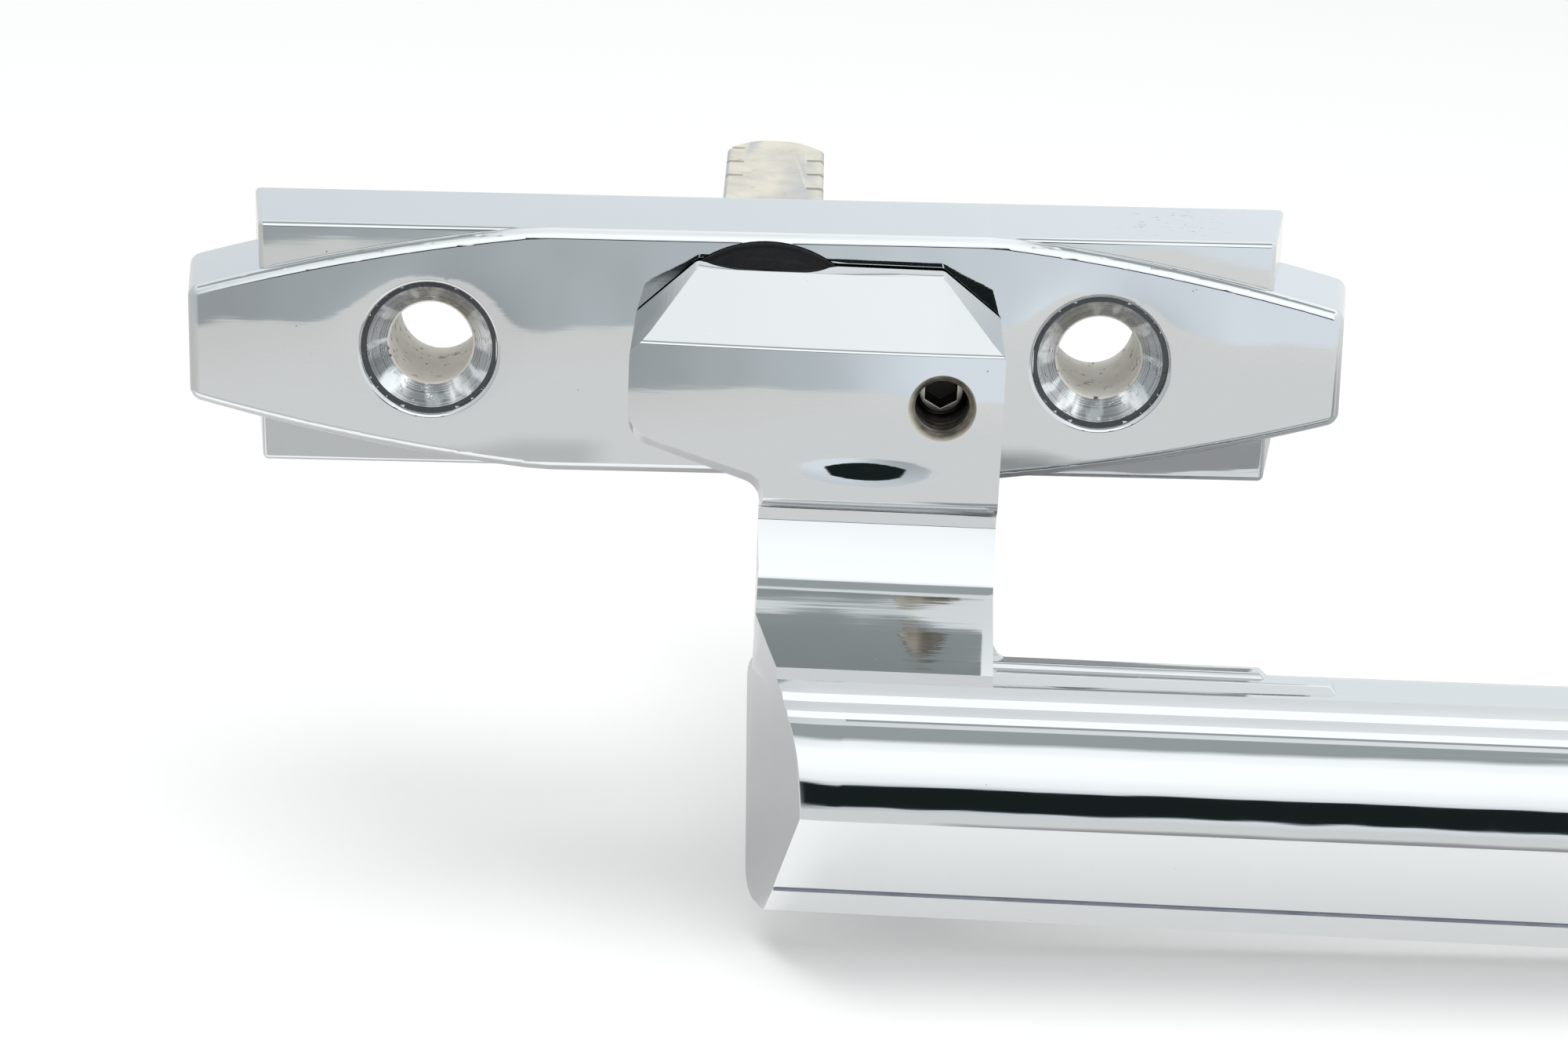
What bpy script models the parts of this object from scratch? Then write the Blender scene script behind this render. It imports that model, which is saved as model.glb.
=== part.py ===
"""Offset locking window handle: a backplate, a cranked lever that turns on it, and the detent
mechanism behind.

Frame: X along the backplate, Y into the window, Z up. The origin is the centre of the spindle's
end face, on the lever's turning axis, which is the Y axis. The builders below measure depths from
the backplate's back face (their y = 0), and one empty, handle, carries everything from there to
the origin. Everything that turns is parented to a second empty on the turning axis, which stands
a little past parallel, as the handle does when its detent play is taken up.
"""

import math

import bmesh
import bpy
from mathutils import Matrix, Vector

MM = 0.001

# ---- driving dimensions -------------------------------------------------------------------
SCREW_CENTRES = 43.0 * MM          # distance between the two fixing holes
SPINDLE_SQUARE = 7.0 * MM          # across the flats of the drive spindle
LEVER_REST_TILT = math.radians(1.2)
LEVER_REACH = 118.0 * MM           # pivot axis to the free end of the grip
JOINT_GAP = 0.3 * MM               # between the lever's back and the backplate
RUNNING_GAP = 0.05 * MM            # shaft in hole, on the radius
SEAT_GAP = 0.1 * MM                # between stacked pieces behind the plate
ROUND_STEPS = 48                   # facets round a turned piece

# backplate
WING_HALF_LENGTH_BACK, WING_HALF_LENGTH_FRONT = 33.7 * MM, 32.4 * MM
WING_HALF_HEIGHT = 8.05 * MM
WING_FRONT = -8.75 * MM
BAND_HALF_LENGTH_BACK, BAND_HALF_LENGTH_FRONT = 38.1 * MM, 36.9 * MM
BAND_END_HALF_HEIGHT = 3.4 * MM
BAND_APEX = 8.9 * MM               # where the band's side arcs would cross the middle
BAND_CLIP = 8.1 * MM               # the band is no taller than this
BAND_FRONT = -9.6 * MM             # crown of the band's face
BAND_CROWN_RADIUS = 92.0 * MM

# fixing holes
RIM_RADIUS, RIM_DEPTH = 4.35 * MM, 0.3 * MM
CONE_RADIUS, FIXING_BORE = 4.05 * MM, 2.7 * MM

# mechanism pocket and front bearing
POCKET_HALF_LENGTH, POCKET_HALF_HEIGHT = 7.4 * MM, 6.3 * MM
POCKET_FLOOR = -6.2 * MM
COVER_HALF_LENGTH, COVER_HALF_HEIGHT, COVER_THICKNESS = 12.1 * MM, 6.9 * MM, 0.75 * MM
BEARING_RADIUS = 6.6 * MM
FLANGE_RADIUS, FLANGE_FLOOR = 7.55 * MM, -8.35 * MM
JOURNAL_RADIUS = 5.8 * MM
RECESS_RADIUS_BACK, RECESS_RADIUS_FLOOR = 7.7 * MM, 6.3 * MM

# lever
BOSS_FRONT = -19.2 * MM
BOSS_BACK = BAND_FRONT - JOINT_GAP
BOSS_CHAMFER = 1.1 * MM            # along the lower left edge of its front
RECESS_FLOOR = BOSS_BACK - 1.7 * MM
ARM_LEFT = -0.3 * MM
ARM_BACK = -19.8 * MM
ARM_TOP = -15.9 * MM
ARM_RIDGE = -23.4 * MM             # height of the grip's foremost line
END_SLOPE = 0.35                   # how far the grip's end facets run in X for each unit of Y
GRIP_FLARE = 1.08                  # the grip's section at its free end over that at the neck
END_LEAN = 0.03                    # and for each unit down from the grip's top

# spindle and its cross pin
SPINDLE_BASE, SPINDLE_TIP = -16.4 * MM, 34.4 * MM
NOTCH_PLACES = (21.5 * MM, 26.0 * MM, 30.5 * MM)
NOTCH_RADIUS, NOTCH_WIDTH = 4.1 * MM, 0.6 * MM
CLIP_GROOVE_RADIUS, CLIP_FRONT, CLIP_BACK = 4.35 * MM, -1.5 * MM, -0.95 * MM
PIN_RADIUS, PIN_DEPTH = 1.0 * MM, -14.0 * MM
PIN_START, PIN_END = -8.0 * MM, 5.0 * MM

# detent mechanism, from the pocket's floor to its cover
WASHER_INNER, WASHER_OUTER = 5.05 * MM, 6.1 * MM
CAM_HALF, CAM_CORNER_RADIUS = 4.7 * MM, 6.0 * MM
CAM_FRONT, CAM_BACK = -5.3 * MM, -3.2 * MM
STOP_DISC_RADIUS, STOP_LUG_RADIUS = 5.9 * MM, 7.0 * MM
STOP_FRONT, STOP_BACK = -3.1 * MM, -2.4 * MM
COVER_SCREW_SHANK, COVER_SCREW_TIP = 0.9 * MM, -5.0 * MM
COVER_SCREW_PLACES = {
    f"{side}_{level}": (sx * 10.2 * MM, sz * 4.6 * MM)
    for side, sx in (("left", -1), ("right", 1)) for level, sz in (("lower", -1), ("upper", 1))}

# lock screw
LOCK_OFFSET = 11.2 * MM            # from the pivot axis
LOCK_BORE, LOCK_THREAD_PITCH, LOCK_THREAD_DEPTH = 1.7 * MM, 0.7 * MM, 0.28 * MM
LOCK_SCREW_RADIUS = 1.65 * MM
LOCK_SCREW_FRONT, LOCK_SCREW_TIP = -15.3 * MM, -10.3 * MM
LOCK_SOCKET_RADIUS, LOCK_SOCKET_FLOOR = 2.1 * MM, -7.5 * MM


# ---- helpers ------------------------------------------------------------------------------
def clear_scene():
    for old in list(bpy.data.objects):
        bpy.data.objects.remove(old, do_unlink=True)


def finish_material(name, colour, roughness, metallic):
    material = bpy.data.materials.new(name)
    material.use_nodes = True
    shader = material.node_tree.nodes["Principled BSDF"]
    shader.inputs["Base Color"].default_value = (*colour, 1.0)
    shader.inputs["Roughness"].default_value = roughness
    shader.inputs["Metallic"].default_value = metallic
    return material


def make_object(name, mesh_builder, material=None, parent=None):
    """Turns a bmesh into a named object with outward faces, smooth except at its edges."""
    bmesh.ops.remove_doubles(mesh_builder, verts=mesh_builder.verts, dist=1e-7)
    bmesh.ops.recalc_face_normals(mesh_builder, faces=mesh_builder.faces)
    mesh = bpy.data.meshes.new(name)
    mesh_builder.to_mesh(mesh)
    mesh_builder.free()
    mesh.shade_smooth()
    mesh.set_sharp_from_angle(angle=math.radians(30))
    if material:
        mesh.materials.append(material)
    piece = bpy.data.objects.new(name, mesh)
    bpy.context.scene.collection.objects.link(piece)
    piece.parent = parent
    return piece


def as_tool(piece):
    """Marks an object as a cutter or a joined body, which is not a part of its own."""
    piece.hide_render = True
    piece.display_type = "WIRE"
    return piece


def boolean(piece, tool, operation):
    modifier = piece.modifiers.new(tool.name, "BOOLEAN")
    modifier.operation = operation
    modifier.solver = "EXACT"
    modifier.object = as_tool(tool)


def cut(piece, *tools):
    for tool in tools:
        boolean(piece, tool, "DIFFERENCE")


def join(piece, *tools):
    for tool in tools:
        boolean(piece, tool, "UNION")


def round_edges(piece, width, segments=2, angle=25):
    modifier = piece.modifiers.new("edges", "BEVEL")
    modifier.width = width
    modifier.segments = segments
    modifier.limit_method = "ANGLE"
    modifier.angle_limit = math.radians(angle)
    modifier.use_clamp_overlap = True


def arc(centre, radius, start, end, steps):
    """Points on an arc in a plane, both ends included; angles in degrees."""
    turns = [math.radians(start + (end - start) * i / steps) for i in range(steps + 1)]
    return [(centre[0] + radius * math.cos(a), centre[1] + radius * math.sin(a)) for a in turns]


def curve_between(start, control, end, steps):
    """Points on a quadratic curve that leaves start and reaches end aimed at control."""
    points = []
    for i in range(steps + 1):
        t = i / steps
        weights = ((1 - t) ** 2, 2 * t * (1 - t), t ** 2)
        points.append(tuple(
            sum(w * p[k] for w, p in zip(weights, (start, control, end))) for k in (0, 1)))
    return points


def rounded(corners, steps=4):
    """Outline through (u, v, radius) corners, each rounded by a tangent arc of its radius."""
    outline = []
    for i, (u, v, radius) in enumerate(corners):
        here = Vector((u, v))
        if radius == 0:
            outline.append((u, v))
            continue
        before = (Vector(corners[i - 1][:2]) - here).normalized()
        after = (Vector(corners[(i + 1) % len(corners)][:2]) - here).normalized()
        half = before.angle(after) / 2
        centre = here + (before + after).normalized() * (radius / math.sin(half))
        first = here + before * (radius / math.tan(half)) - centre
        sweep = first.angle_signed(here + after * (radius / math.tan(half)) - centre)
        for k in range(steps + 1):
            spoke = first.copy()
            spoke.rotate(Matrix.Rotation(-sweep * k / steps, 2))
            outline.append(tuple(centre + spoke))
    return outline


def place(plane, u, v, depth):
    """A point of an outline: plane XZ is seen along Y, plane YZ is seen along X."""
    return (u, depth, v) if plane == "XZ" else (depth, u, v)


def loft(sections):
    """Closed body through same-length loops of 3-D points."""
    builder = bmesh.new()
    loops = [[builder.verts.new(point) for point in section] for section in sections]
    for lower, upper in zip(loops, loops[1:]):
        count = len(lower)
        for i in range(count):
            j = (i + 1) % count
            builder.faces.new((lower[i], lower[j], upper[j], upper[i]))
    builder.faces.new(loops[0])
    builder.faces.new(loops[-1])
    return builder


def prism(plane, outline, start, end):
    return loft([[place(plane, u, v, depth) for u, v in outline] for depth in (start, end)])


def turned(profile, centre=(0.0, 0.0), steps=ROUND_STEPS, closed=False):
    """Body turned about a line along Y through centre (x, z) from (radius, y) points."""
    builder = bmesh.new()
    verts = [builder.verts.new((centre[0] + r, y, centre[1])) for r, y in profile]
    pairs = list(zip(verts, verts[1:]))
    if closed:
        pairs.append((verts[-1], verts[0]))
    edges = [builder.edges.new(pair) for pair in pairs]
    bmesh.ops.spin(builder, geom=verts + edges, cent=(centre[0], 0, centre[1]),
                   axis=(0, 1, 0), angle=math.tau, steps=steps, use_merge=True)
    return builder


def rod(radius, start, end, centre=(0.0, 0.0), steps=ROUND_STEPS):
    return turned([(0, start), (radius, start), (radius, end), (0, end)], centre, steps)


def ring(inner, outer, start, end, steps=ROUND_STEPS):
    return turned([(inner, start), (outer, start), (outer, end), (inner, end)],
                  steps=steps, closed=True)


def block(half_x, half_z, start, end, radius, steps=3):
    corners = [(-half_x, -half_z, radius), (half_x, -half_z, radius),
               (half_x, half_z, radius), (-half_x, half_z, radius)]
    return prism("XZ", rounded(corners, steps), start, end)


def square_hole(name, start, end, parent):
    half = SPINDLE_SQUARE / 2 + RUNNING_GAP
    corners = [(-half, -half), (half, -half), (half, half), (-half, half)]
    return make_object(name, prism("XZ", corners, start, end), parent=parent)


# ---- backplate ----------------------------------------------------------------------------
def band_outline(half_length):
    """Boat shape: straight ends, and sides that follow a shallow arc, clipped at the middle."""
    drop = (BAND_APEX - BAND_END_HALF_HEIGHT) / BAND_HALF_LENGTH_BACK ** 2
    steps = 16
    side = []
    for i in range(steps + 1):
        x = half_length * (1 - 2 * i / steps)
        side.append((x, min(BAND_CLIP, BAND_APEX - drop * x * x)))
    return side + [(-x, -z) for x, z in side]


def countersink(name, x):
    cone_depth = CONE_RADIUS - FIXING_BORE
    rim_floor = BAND_FRONT + RIM_DEPTH + 0.15 * MM
    profile = [(0, BAND_FRONT - 2 * MM), (RIM_RADIUS, BAND_FRONT - 2 * MM),
               (RIM_RADIUS, rim_floor), (CONE_RADIUS, rim_floor),
               (FIXING_BORE, rim_floor + cone_depth), (FIXING_BORE, 2 * MM), (0, 2 * MM)]
    return make_object(name, turned(profile, (x, 0)))


def build_backplate(material, lever_axis):
    wings = make_object("wings_body", loft([
        [(x * length, y, z * WING_HALF_HEIGHT) for x, z in ((-1, -1), (1, -1), (1, 1), (-1, 1))]
        for length, y in ((WING_HALF_LENGTH_BACK, 0.0), (WING_HALF_LENGTH_FRONT, WING_FRONT))]))
    round_edges(wings, 0.35 * MM)
    front = BAND_FRONT - 1 * MM
    plate = make_object("backplate", loft([
        [(x, 0.0, z) for x, z in band_outline(BAND_HALF_LENGTH_BACK)],
        [(x, front, z) for x, z in band_outline(BAND_HALF_LENGTH_FRONT)]]), material)
    crown_rise = BAND_CROWN_RADIUS + BAND_FRONT
    half_angle = 7.0
    crown_face = arc((crown_rise, 0), BAND_CROWN_RADIUS, 180 - half_angle, 180 + half_angle, 12)
    crown_tall = BAND_CROWN_RADIUS * math.sin(math.radians(half_angle))
    crown = make_object("crown_body", prism(
        "YZ", crown_face + [(MM, -crown_tall), (MM, crown_tall)], -50 * MM, 50 * MM))
    boolean(plate, crown, "INTERSECT")
    round_edges(plate, 0.5 * MM)
    join(plate, wings)
    half_centres = SCREW_CENTRES / 2
    cut(plate,
        countersink("countersink_left", -half_centres),
        countersink("countersink_right", half_centres),
        make_object("flange_pocket", rod(FLANGE_RADIUS + RUNNING_GAP, FLANGE_FLOOR, -20 * MM)),
        make_object("bearing_bore", rod(BEARING_RADIUS + RUNNING_GAP, -10 * MM, -5 * MM)),
        make_object("mechanism_pocket", block(
            POCKET_HALF_LENGTH, POCKET_HALF_HEIGHT, POCKET_FLOOR, 2 * MM, 1 * MM)),
        make_object("cover_recess", block(
            COVER_HALF_LENGTH + SEAT_GAP, COVER_HALF_HEIGHT + SEAT_GAP,
            -COVER_THICKNESS - SEAT_GAP, 2 * MM, 1 * MM)),
        make_object("lock_socket", rod(LOCK_SOCKET_RADIUS, -20 * MM, LOCK_SOCKET_FLOOR,
                                       (LOCK_OFFSET, 0)), parent=lever_axis))
    cut(plate, *[make_object(f"cover_tapping_{side}", rod(COVER_SCREW_SHANK + RUNNING_GAP,
                             COVER_SCREW_TIP - 0.5 * MM, 2 * MM, place_xz, 24))
                 for side, place_xz in COVER_SCREW_PLACES.items()])
    return plate


# ---- lever --------------------------------------------------------------------------------
def boss_front_outline(chamfer):
    """The boss and neck seen from the front, as (x, z); chamfer draws in the lower left edge."""
    neck_left, neck_right, foot = 0.05 * MM, 15.0 * MM, -17.5 * MM
    return rounded([
        (-8.3 * MM, 2.75 * MM, 0.6 * MM), (-4.5 * MM, 6.3 * MM, 0.6 * MM),
        (11.2 * MM, 6.3 * MM, 0.6 * MM), (neck_right, 3.3 * MM, 0.6 * MM),
        (neck_right, foot, 0), (neck_left, foot, 0),
        (neck_left + chamfer * 0.3, -5.9 * MM + chamfer * 0.9, 1.4 * MM),
        (-8.3 * MM, -3.1 * MM + chamfer * 0.8, 1.9 * MM)])


def boss_body(material, parent):
    """The boss and neck as a block along Y, its lower left edge chamfered towards the front."""
    full, drawn_in = boss_front_outline(0), boss_front_outline(BOSS_CHAMFER)
    back, front = -5 * MM, -35 * MM
    chamfer_start, chamfer_end = BOSS_FRONT + 1.3 * MM, BOSS_FRONT - 0.2 * MM
    return make_object("lever", loft([
        [(x, y, z) for x, z in outline] for outline, y in (
            (full, back), (full, chamfer_start), (drawn_in, chamfer_end), (drawn_in, front))]),
        material, parent)


def boss_side_outline():
    """The boss and neck seen from the side, as (y, z), from the top round the front."""
    slope_foot = 3.45 * MM
    cove_top, cove_foot = (-17.8 * MM, -8.1 * MM), (-25.3 * MM, -15.2 * MM)
    cove = curve_between(cove_top, (-18.0 * MM, -13.5 * MM), cove_foot, 12)
    front = rounded([
        (-10.2 * MM, 7.0 * MM, 0), (BOSS_FRONT, slope_foot, 0.3 * MM),
        (BOSS_FRONT, -6.9 * MM, 0.9 * MM), (-17.8 * MM, -7.2 * MM, 0.25 * MM)]
        + [(*cove_top, 0)])[:-1]
    back = [(-25.3 * MM, -17.0 * MM), (-20.0 * MM, -17.0 * MM), (-16.5 * MM, -14.2 * MM),
            (-12.6 * MM, -10.0 * MM), (-12.6 * MM, -6.6 * MM), (BOSS_BACK, -6.0 * MM),
            (BOSS_BACK, 7.0 * MM)]
    return front + cove + back


def flutes(start, end, count, depth):
    """Shallow grooves side by side between two points, each with a crisp crest."""
    along = Vector(end) - Vector(start)
    inward = Vector((-along.y, along.x)).normalized() * depth
    points = []
    for i in range(count):
        for share in (0.0, 0.75):
            point = Vector(start) + along * ((i + share) / count)
            points.append(tuple(point + inward * (share > 0)))
    return points


def grip_outline():
    """Section of the grip as (y, z), from the top back edge round the front to the back."""
    shoulder, belly_top = (-25.4 * MM, ARM_TOP), (-28.0 * MM, -18.2 * MM)
    ridge, line = (-29.9 * MM, ARM_RIDGE), (-25.2 * MM, -30.0 * MM)
    belly = curve_between(belly_top, (-29.56 * MM, -20.2 * MM), ridge, 8)
    back = rounded([
        (line[0] + 0.3 * MM, line[1] - 0.05 * MM, 0), (-23.3 * MM, -32.5 * MM, 0.7 * MM),
        (ARM_BACK, -32.7 * MM, 1.5 * MM), (ARM_BACK, ARM_TOP, 2.2 * MM), (*shoulder, 0)])[:-1]
    return flutes(shoulder, belly_top, 3, 0.12 * MM) + belly + [line] + back


def end_facet_x(y, z):
    """Where the plane of the lever's left end facet stands at a depth and a height."""
    return ARM_LEFT + END_SLOPE * (ARM_BACK - y) + END_LEAN * (ARM_TOP - z)


def build_end_cutter(parent):
    """Everything left of the end facet, so that the neck's foot is cut by the same plane."""
    front, left = -30 * MM, -12 * MM
    sections = []
    for z in (-20 * MM, -7.5 * MM):
        sections.append([(end_facet_x(ARM_BACK, z), ARM_BACK, z),
                         (end_facet_x(front, z), front, z), (left, front, z),
                         (left, ARM_BACK, z)])
    return make_object("end_cutter", loft(sections), parent=parent)


def grip_sections():
    """The grip's outline at its two ends, flared towards the free end, ends cut on a slope."""
    sections = []
    for free_end, flare in ((False, 1.0), (True, GRIP_FLARE)):
        section = []
        for y, z in grip_outline():
            inset = end_facet_x(y, z) - ARM_LEFT
            x = LEVER_REACH - inset if free_end else ARM_LEFT + inset
            section.append((x, y, ARM_RIDGE + (z - ARM_RIDGE) * flare))
        sections.append(section)
    return sections


def pad(name, end_x, outline, parent):
    """A low step on top of the grip, running out from the neck, its far end on a slope."""
    top = max(z for _, z in outline)
    sections = []
    for x, lean in ((10 * MM, 0), (end_x, 1.0)):
        sections.append([(x - lean * (z - top), y, z) for y, z in outline])
    return make_object(name, loft(sections), parent=parent)


def lock_bore_profile():
    """Tapped bore from the boss's face to its back, threads as rings, with a broken mouth."""
    mouth, back = BOSS_FRONT - 1 * MM, BOSS_BACK + 1 * MM
    profile = [(0, mouth), (LOCK_BORE + 0.3 * MM, mouth), (LOCK_BORE + 0.3 * MM, BOSS_FRONT)]
    turns = int((BOSS_BACK - BOSS_FRONT) / LOCK_THREAD_PITCH)
    for i in range(turns):
        y = BOSS_FRONT + (i + 0.4) * LOCK_THREAD_PITCH
        profile += [(LOCK_BORE, y), (LOCK_BORE + LOCK_THREAD_DEPTH, y + LOCK_THREAD_PITCH / 2)]
    return profile + [(LOCK_BORE, BOSS_BACK), (LOCK_BORE, back), (0, back)]


def build_lever(material, lever_axis):
    lever = boss_body(material, lever_axis)
    side = make_object("boss_side_body", prism("YZ", boss_side_outline(), -15 * MM, 20 * MM),
                       parent=lever_axis)
    boolean(lever, side, "INTERSECT")
    cut(lever, build_end_cutter(lever_axis))
    round_edges(lever, 0.25 * MM)
    grip = make_object("grip_body", loft(grip_sections()), parent=lever_axis)
    lower_pad = pad("lower_pad_body", 36.0 * MM, [
        (-22.6 * MM, -17 * MM), (-22.6 * MM, -15.4 * MM), (-24.0 * MM, -15.4 * MM),
        (-24.95 * MM, -15.98 * MM), (-24.95 * MM, -17 * MM)], lever_axis)
    upper_pad = pad("upper_pad_body", 31.7 * MM, [
        (-21.9 * MM, -17 * MM), (-21.9 * MM, -15.1 * MM), (-23.0 * MM, -15.1 * MM),
        (-23.3 * MM, -15.5 * MM), (-23.3 * MM, -17 * MM)], lever_axis)
    fillet_radius = 1.2 * MM
    corner_x, corner_z = 15.0 * MM, -15.2 * MM
    hollow = arc((corner_x + fillet_radius, corner_z + fillet_radius), fillet_radius, 180, 270, 5)
    fillet = make_object("neck_fillet_body", prism("XZ", hollow + [
        (corner_x + fillet_radius, -16.5 * MM), (corner_x - 1 * MM, -16.5 * MM),
        (corner_x - 1 * MM, corner_z + fillet_radius)], -22.1 * MM, -22.9 * MM),
        parent=lever_axis)
    journal = make_object("journal_body", rod(JOURNAL_RADIUS, RECESS_FLOOR - 0.5 * MM,
                                              POCKET_FLOOR - 0.2 * MM), parent=lever_axis)
    recess_slope = (RECESS_RADIUS_BACK - RECESS_RADIUS_FLOOR) / (BOSS_BACK - RECESS_FLOOR)
    mouth = 1 * MM
    recess = make_object("boss_recess", turned([
        (0, RECESS_FLOOR), (RECESS_RADIUS_FLOOR, RECESS_FLOOR),
        (RECESS_RADIUS_BACK + recess_slope * mouth, BOSS_BACK + mouth),
        (0, BOSS_BACK + mouth)]), parent=lever_axis)
    pin_hole = make_object("pin_hole", rod(PIN_RADIUS + RUNNING_GAP, -10 * MM,
                                           PIN_END + JOINT_GAP, steps=24), parent=lever_axis)
    pin_hole.rotation_euler = (0, 0, -math.pi / 2)
    pin_hole.location = (0, PIN_DEPTH, 0)
    join(lever, grip, lower_pad, upper_pad, fillet)
    cut(lever, recess)
    join(lever, journal)
    cut(lever,
        square_hole("spindle_socket", SPINDLE_BASE - SEAT_GAP, 0.0, lever_axis),
        make_object("lock_bore", turned(lock_bore_profile(), (LOCK_OFFSET, 0), 32),
                    parent=lever_axis),
        pin_hole)
    return lever


# ---- spindle and its pin ------------------------------------------------------------------
def build_spindle(material, lever_axis):
    half = SPINDLE_SQUARE / 2
    corner = 0.25 * MM
    outline = rounded([(-half, -half, corner), (half, -half, corner),
                       (half, half, corner), (-half, half, corner)], 2)
    spindle = make_object("spindle", prism("XZ", outline, SPINDLE_BASE, SPINDLE_TIP),
                          material, lever_axis)
    circle = half * math.sqrt(2)
    tip_start = 31.2 * MM
    tip = make_object("spindle_tip_body", turned([
        (0, -30 * MM), (circle, -30 * MM), (circle, tip_start), (3.3 * MM, SPINDLE_TIP - 0.5 * MM),
        (2.6 * MM, SPINDLE_TIP), (0, SPINDLE_TIP)]), parent=lever_axis)
    boolean(spindle, tip, "INTERSECT")
    for number, y in enumerate(NOTCH_PLACES, 1):
        cut(spindle, make_object(f"spindle_notch_{number}", ring(
            NOTCH_RADIUS, 6 * MM, y - NOTCH_WIDTH / 2, y + NOTCH_WIDTH / 2), parent=lever_axis))
    cut(spindle, make_object("clip_groove", ring(
        CLIP_GROOVE_RADIUS, 6 * MM, CLIP_FRONT - SEAT_GAP, CLIP_BACK + SEAT_GAP),
        parent=lever_axis))
    hole = make_object("spindle_pin_hole", rod(PIN_RADIUS + RUNNING_GAP, -8 * MM, 8 * MM,
                                               steps=24), parent=lever_axis)
    hole.rotation_euler = (0, 0, -math.pi / 2)
    hole.location = (0, PIN_DEPTH, 0)
    cut(spindle, hole)
    return spindle


def build_spindle_pin(material, lever_axis):
    """Cross pin, driven in from the boss's left flank, that keeps the spindle in the boss."""
    chamfer = 0.2 * MM
    pin = make_object("spindle_pin", turned([
        (0, PIN_START), (PIN_RADIUS - chamfer, PIN_START), (PIN_RADIUS, PIN_START + chamfer),
        (PIN_RADIUS, PIN_END - chamfer), (PIN_RADIUS - chamfer, PIN_END), (0, PIN_END)],
        steps=24), material, lever_axis)
    pin.rotation_euler = (0, 0, -math.pi / 2)
    pin.location = (0, PIN_DEPTH, 0)
    return pin


# ---- bearing and mechanism ----------------------------------------------------------------
def build_front_bearing(material):
    """Nylon bush: barrel in the plate, flange in its pocket, tapered nose inside the boss."""
    bore = JOURNAL_RADIUS + RUNNING_GAP
    nose_front = RECESS_FLOOR + 0.3 * MM
    return make_object("front_bearing", turned([
        (bore, POCKET_FLOOR - 0.1 * MM), (BEARING_RADIUS, POCKET_FLOOR - 0.1 * MM),
        (BEARING_RADIUS, FLANGE_FLOOR - 0.05 * MM), (FLANGE_RADIUS, FLANGE_FLOOR - 0.05 * MM),
        (FLANGE_RADIUS, BAND_FRONT - 0.1 * MM), (FLANGE_RADIUS - 0.1 * MM, BAND_FRONT - 0.2 * MM),
        (6.3 * MM, nose_front), (bore, nose_front)], closed=True), material)


def build_index_cam(material, lever_axis):
    """Square cam with turned-down corners; its flats rest on the two leaf springs."""
    corner_angle = math.degrees(math.acos(CAM_HALF / CAM_CORNER_RADIUS))
    outline = []
    for quarter in range(4):
        outline += arc((0, 0), CAM_CORNER_RADIUS, quarter * 90 + corner_angle,
                       quarter * 90 + 90 - corner_angle, 3)
    cam = make_object("index_cam", prism("XZ", outline, CAM_FRONT, CAM_BACK),
                      material, lever_axis)
    cut(cam, square_hole("cam_hole", CAM_FRONT - MM, CAM_BACK + MM, lever_axis))
    return cam


def build_leaf_spring(name, side, material):
    """Bowed strip whose middle presses on a flat of the cam and whose ends sit on the plate."""
    half_tall, thickness, middle, ends = 5.9 * MM, 0.35 * MM, 4.85 * MM, 6.9 * MM
    steps = 10
    inner, outer = [], []
    for i in range(steps + 1):
        z = half_tall * (2 * i / steps - 1)
        x = middle + (ends - middle) * (z / half_tall) ** 2
        inner.append((side * x, z))
        outer.append((side * (x + thickness), z))
    return make_object(name, prism("XZ", inner + outer[::-1], CAM_FRONT + 0.2 * MM,
                                   CAM_BACK - 0.2 * MM), material)


def build_stop_plate(material, lever_axis):
    """Disc with one lug that meets the pocket's walls after a quarter turn each way."""
    lug_centre, lug_half = 45.0, 15.0
    outline = arc((0, 0), STOP_LUG_RADIUS, lug_centre - lug_half, lug_centre + lug_half, 5)
    outline += arc((0, 0), STOP_DISC_RADIUS, lug_centre + lug_half + 2,
                   lug_centre - lug_half + 358, 28)
    plate = make_object("stop_plate", prism("XZ", outline, STOP_FRONT, STOP_BACK),
                        material, lever_axis)
    cut(plate, square_hole("stop_hole", STOP_FRONT - MM, STOP_BACK + MM, lever_axis))
    return plate


def build_wave_washer(material, lever_axis):
    """Thin ring bent into three waves, which takes up the lever's end play."""
    washer = ring(WASHER_INNER, WASHER_OUTER - 0.1 * MM, -2.19 * MM, -1.99 * MM)
    wave = 0.1 * MM
    for vert in washer.verts:
        vert.co.y += wave * math.sin(3 * math.atan2(vert.co.z, vert.co.x))
    return make_object("wave_washer", washer, material, lever_axis)


def build_retaining_clip(material, lever_axis):
    """Open ring that snaps into the groove turned across the spindle's corners."""
    gap_half = 28.0
    outline = arc((0, 0), 5.9 * MM, gap_half - 90, 270 - gap_half, 30)
    outline += arc((0, 0), CLIP_GROOVE_RADIUS + RUNNING_GAP, 270 - gap_half - 6,
                   gap_half - 84, 30)
    return make_object("retaining_clip", prism("XZ", outline, CLIP_FRONT, CLIP_BACK),
                       material, lever_axis)


def build_rear_cover(material):
    cover = make_object("rear_cover", block(COVER_HALF_LENGTH, COVER_HALF_HEIGHT,
                                            -COVER_THICKNESS, 0.0, 0.9 * MM), material)
    cut(cover, make_object("cover_opening", rod(5.3 * MM, -5 * MM, 2 * MM)))
    for side, centre in COVER_SCREW_PLACES.items():
        cut(cover, make_object(f"cover_countersink_{side}", turned([
            (0, -2 * MM), (COVER_SCREW_SHANK + 0.1 * MM, -2 * MM),
            (COVER_SCREW_SHANK + 0.1 * MM, -COVER_THICKNESS - 0.05 * MM),
            (1.75 * MM, 0.1 * MM), (1.75 * MM, MM), (0, MM)], centre, 24)))
    return cover


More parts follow.
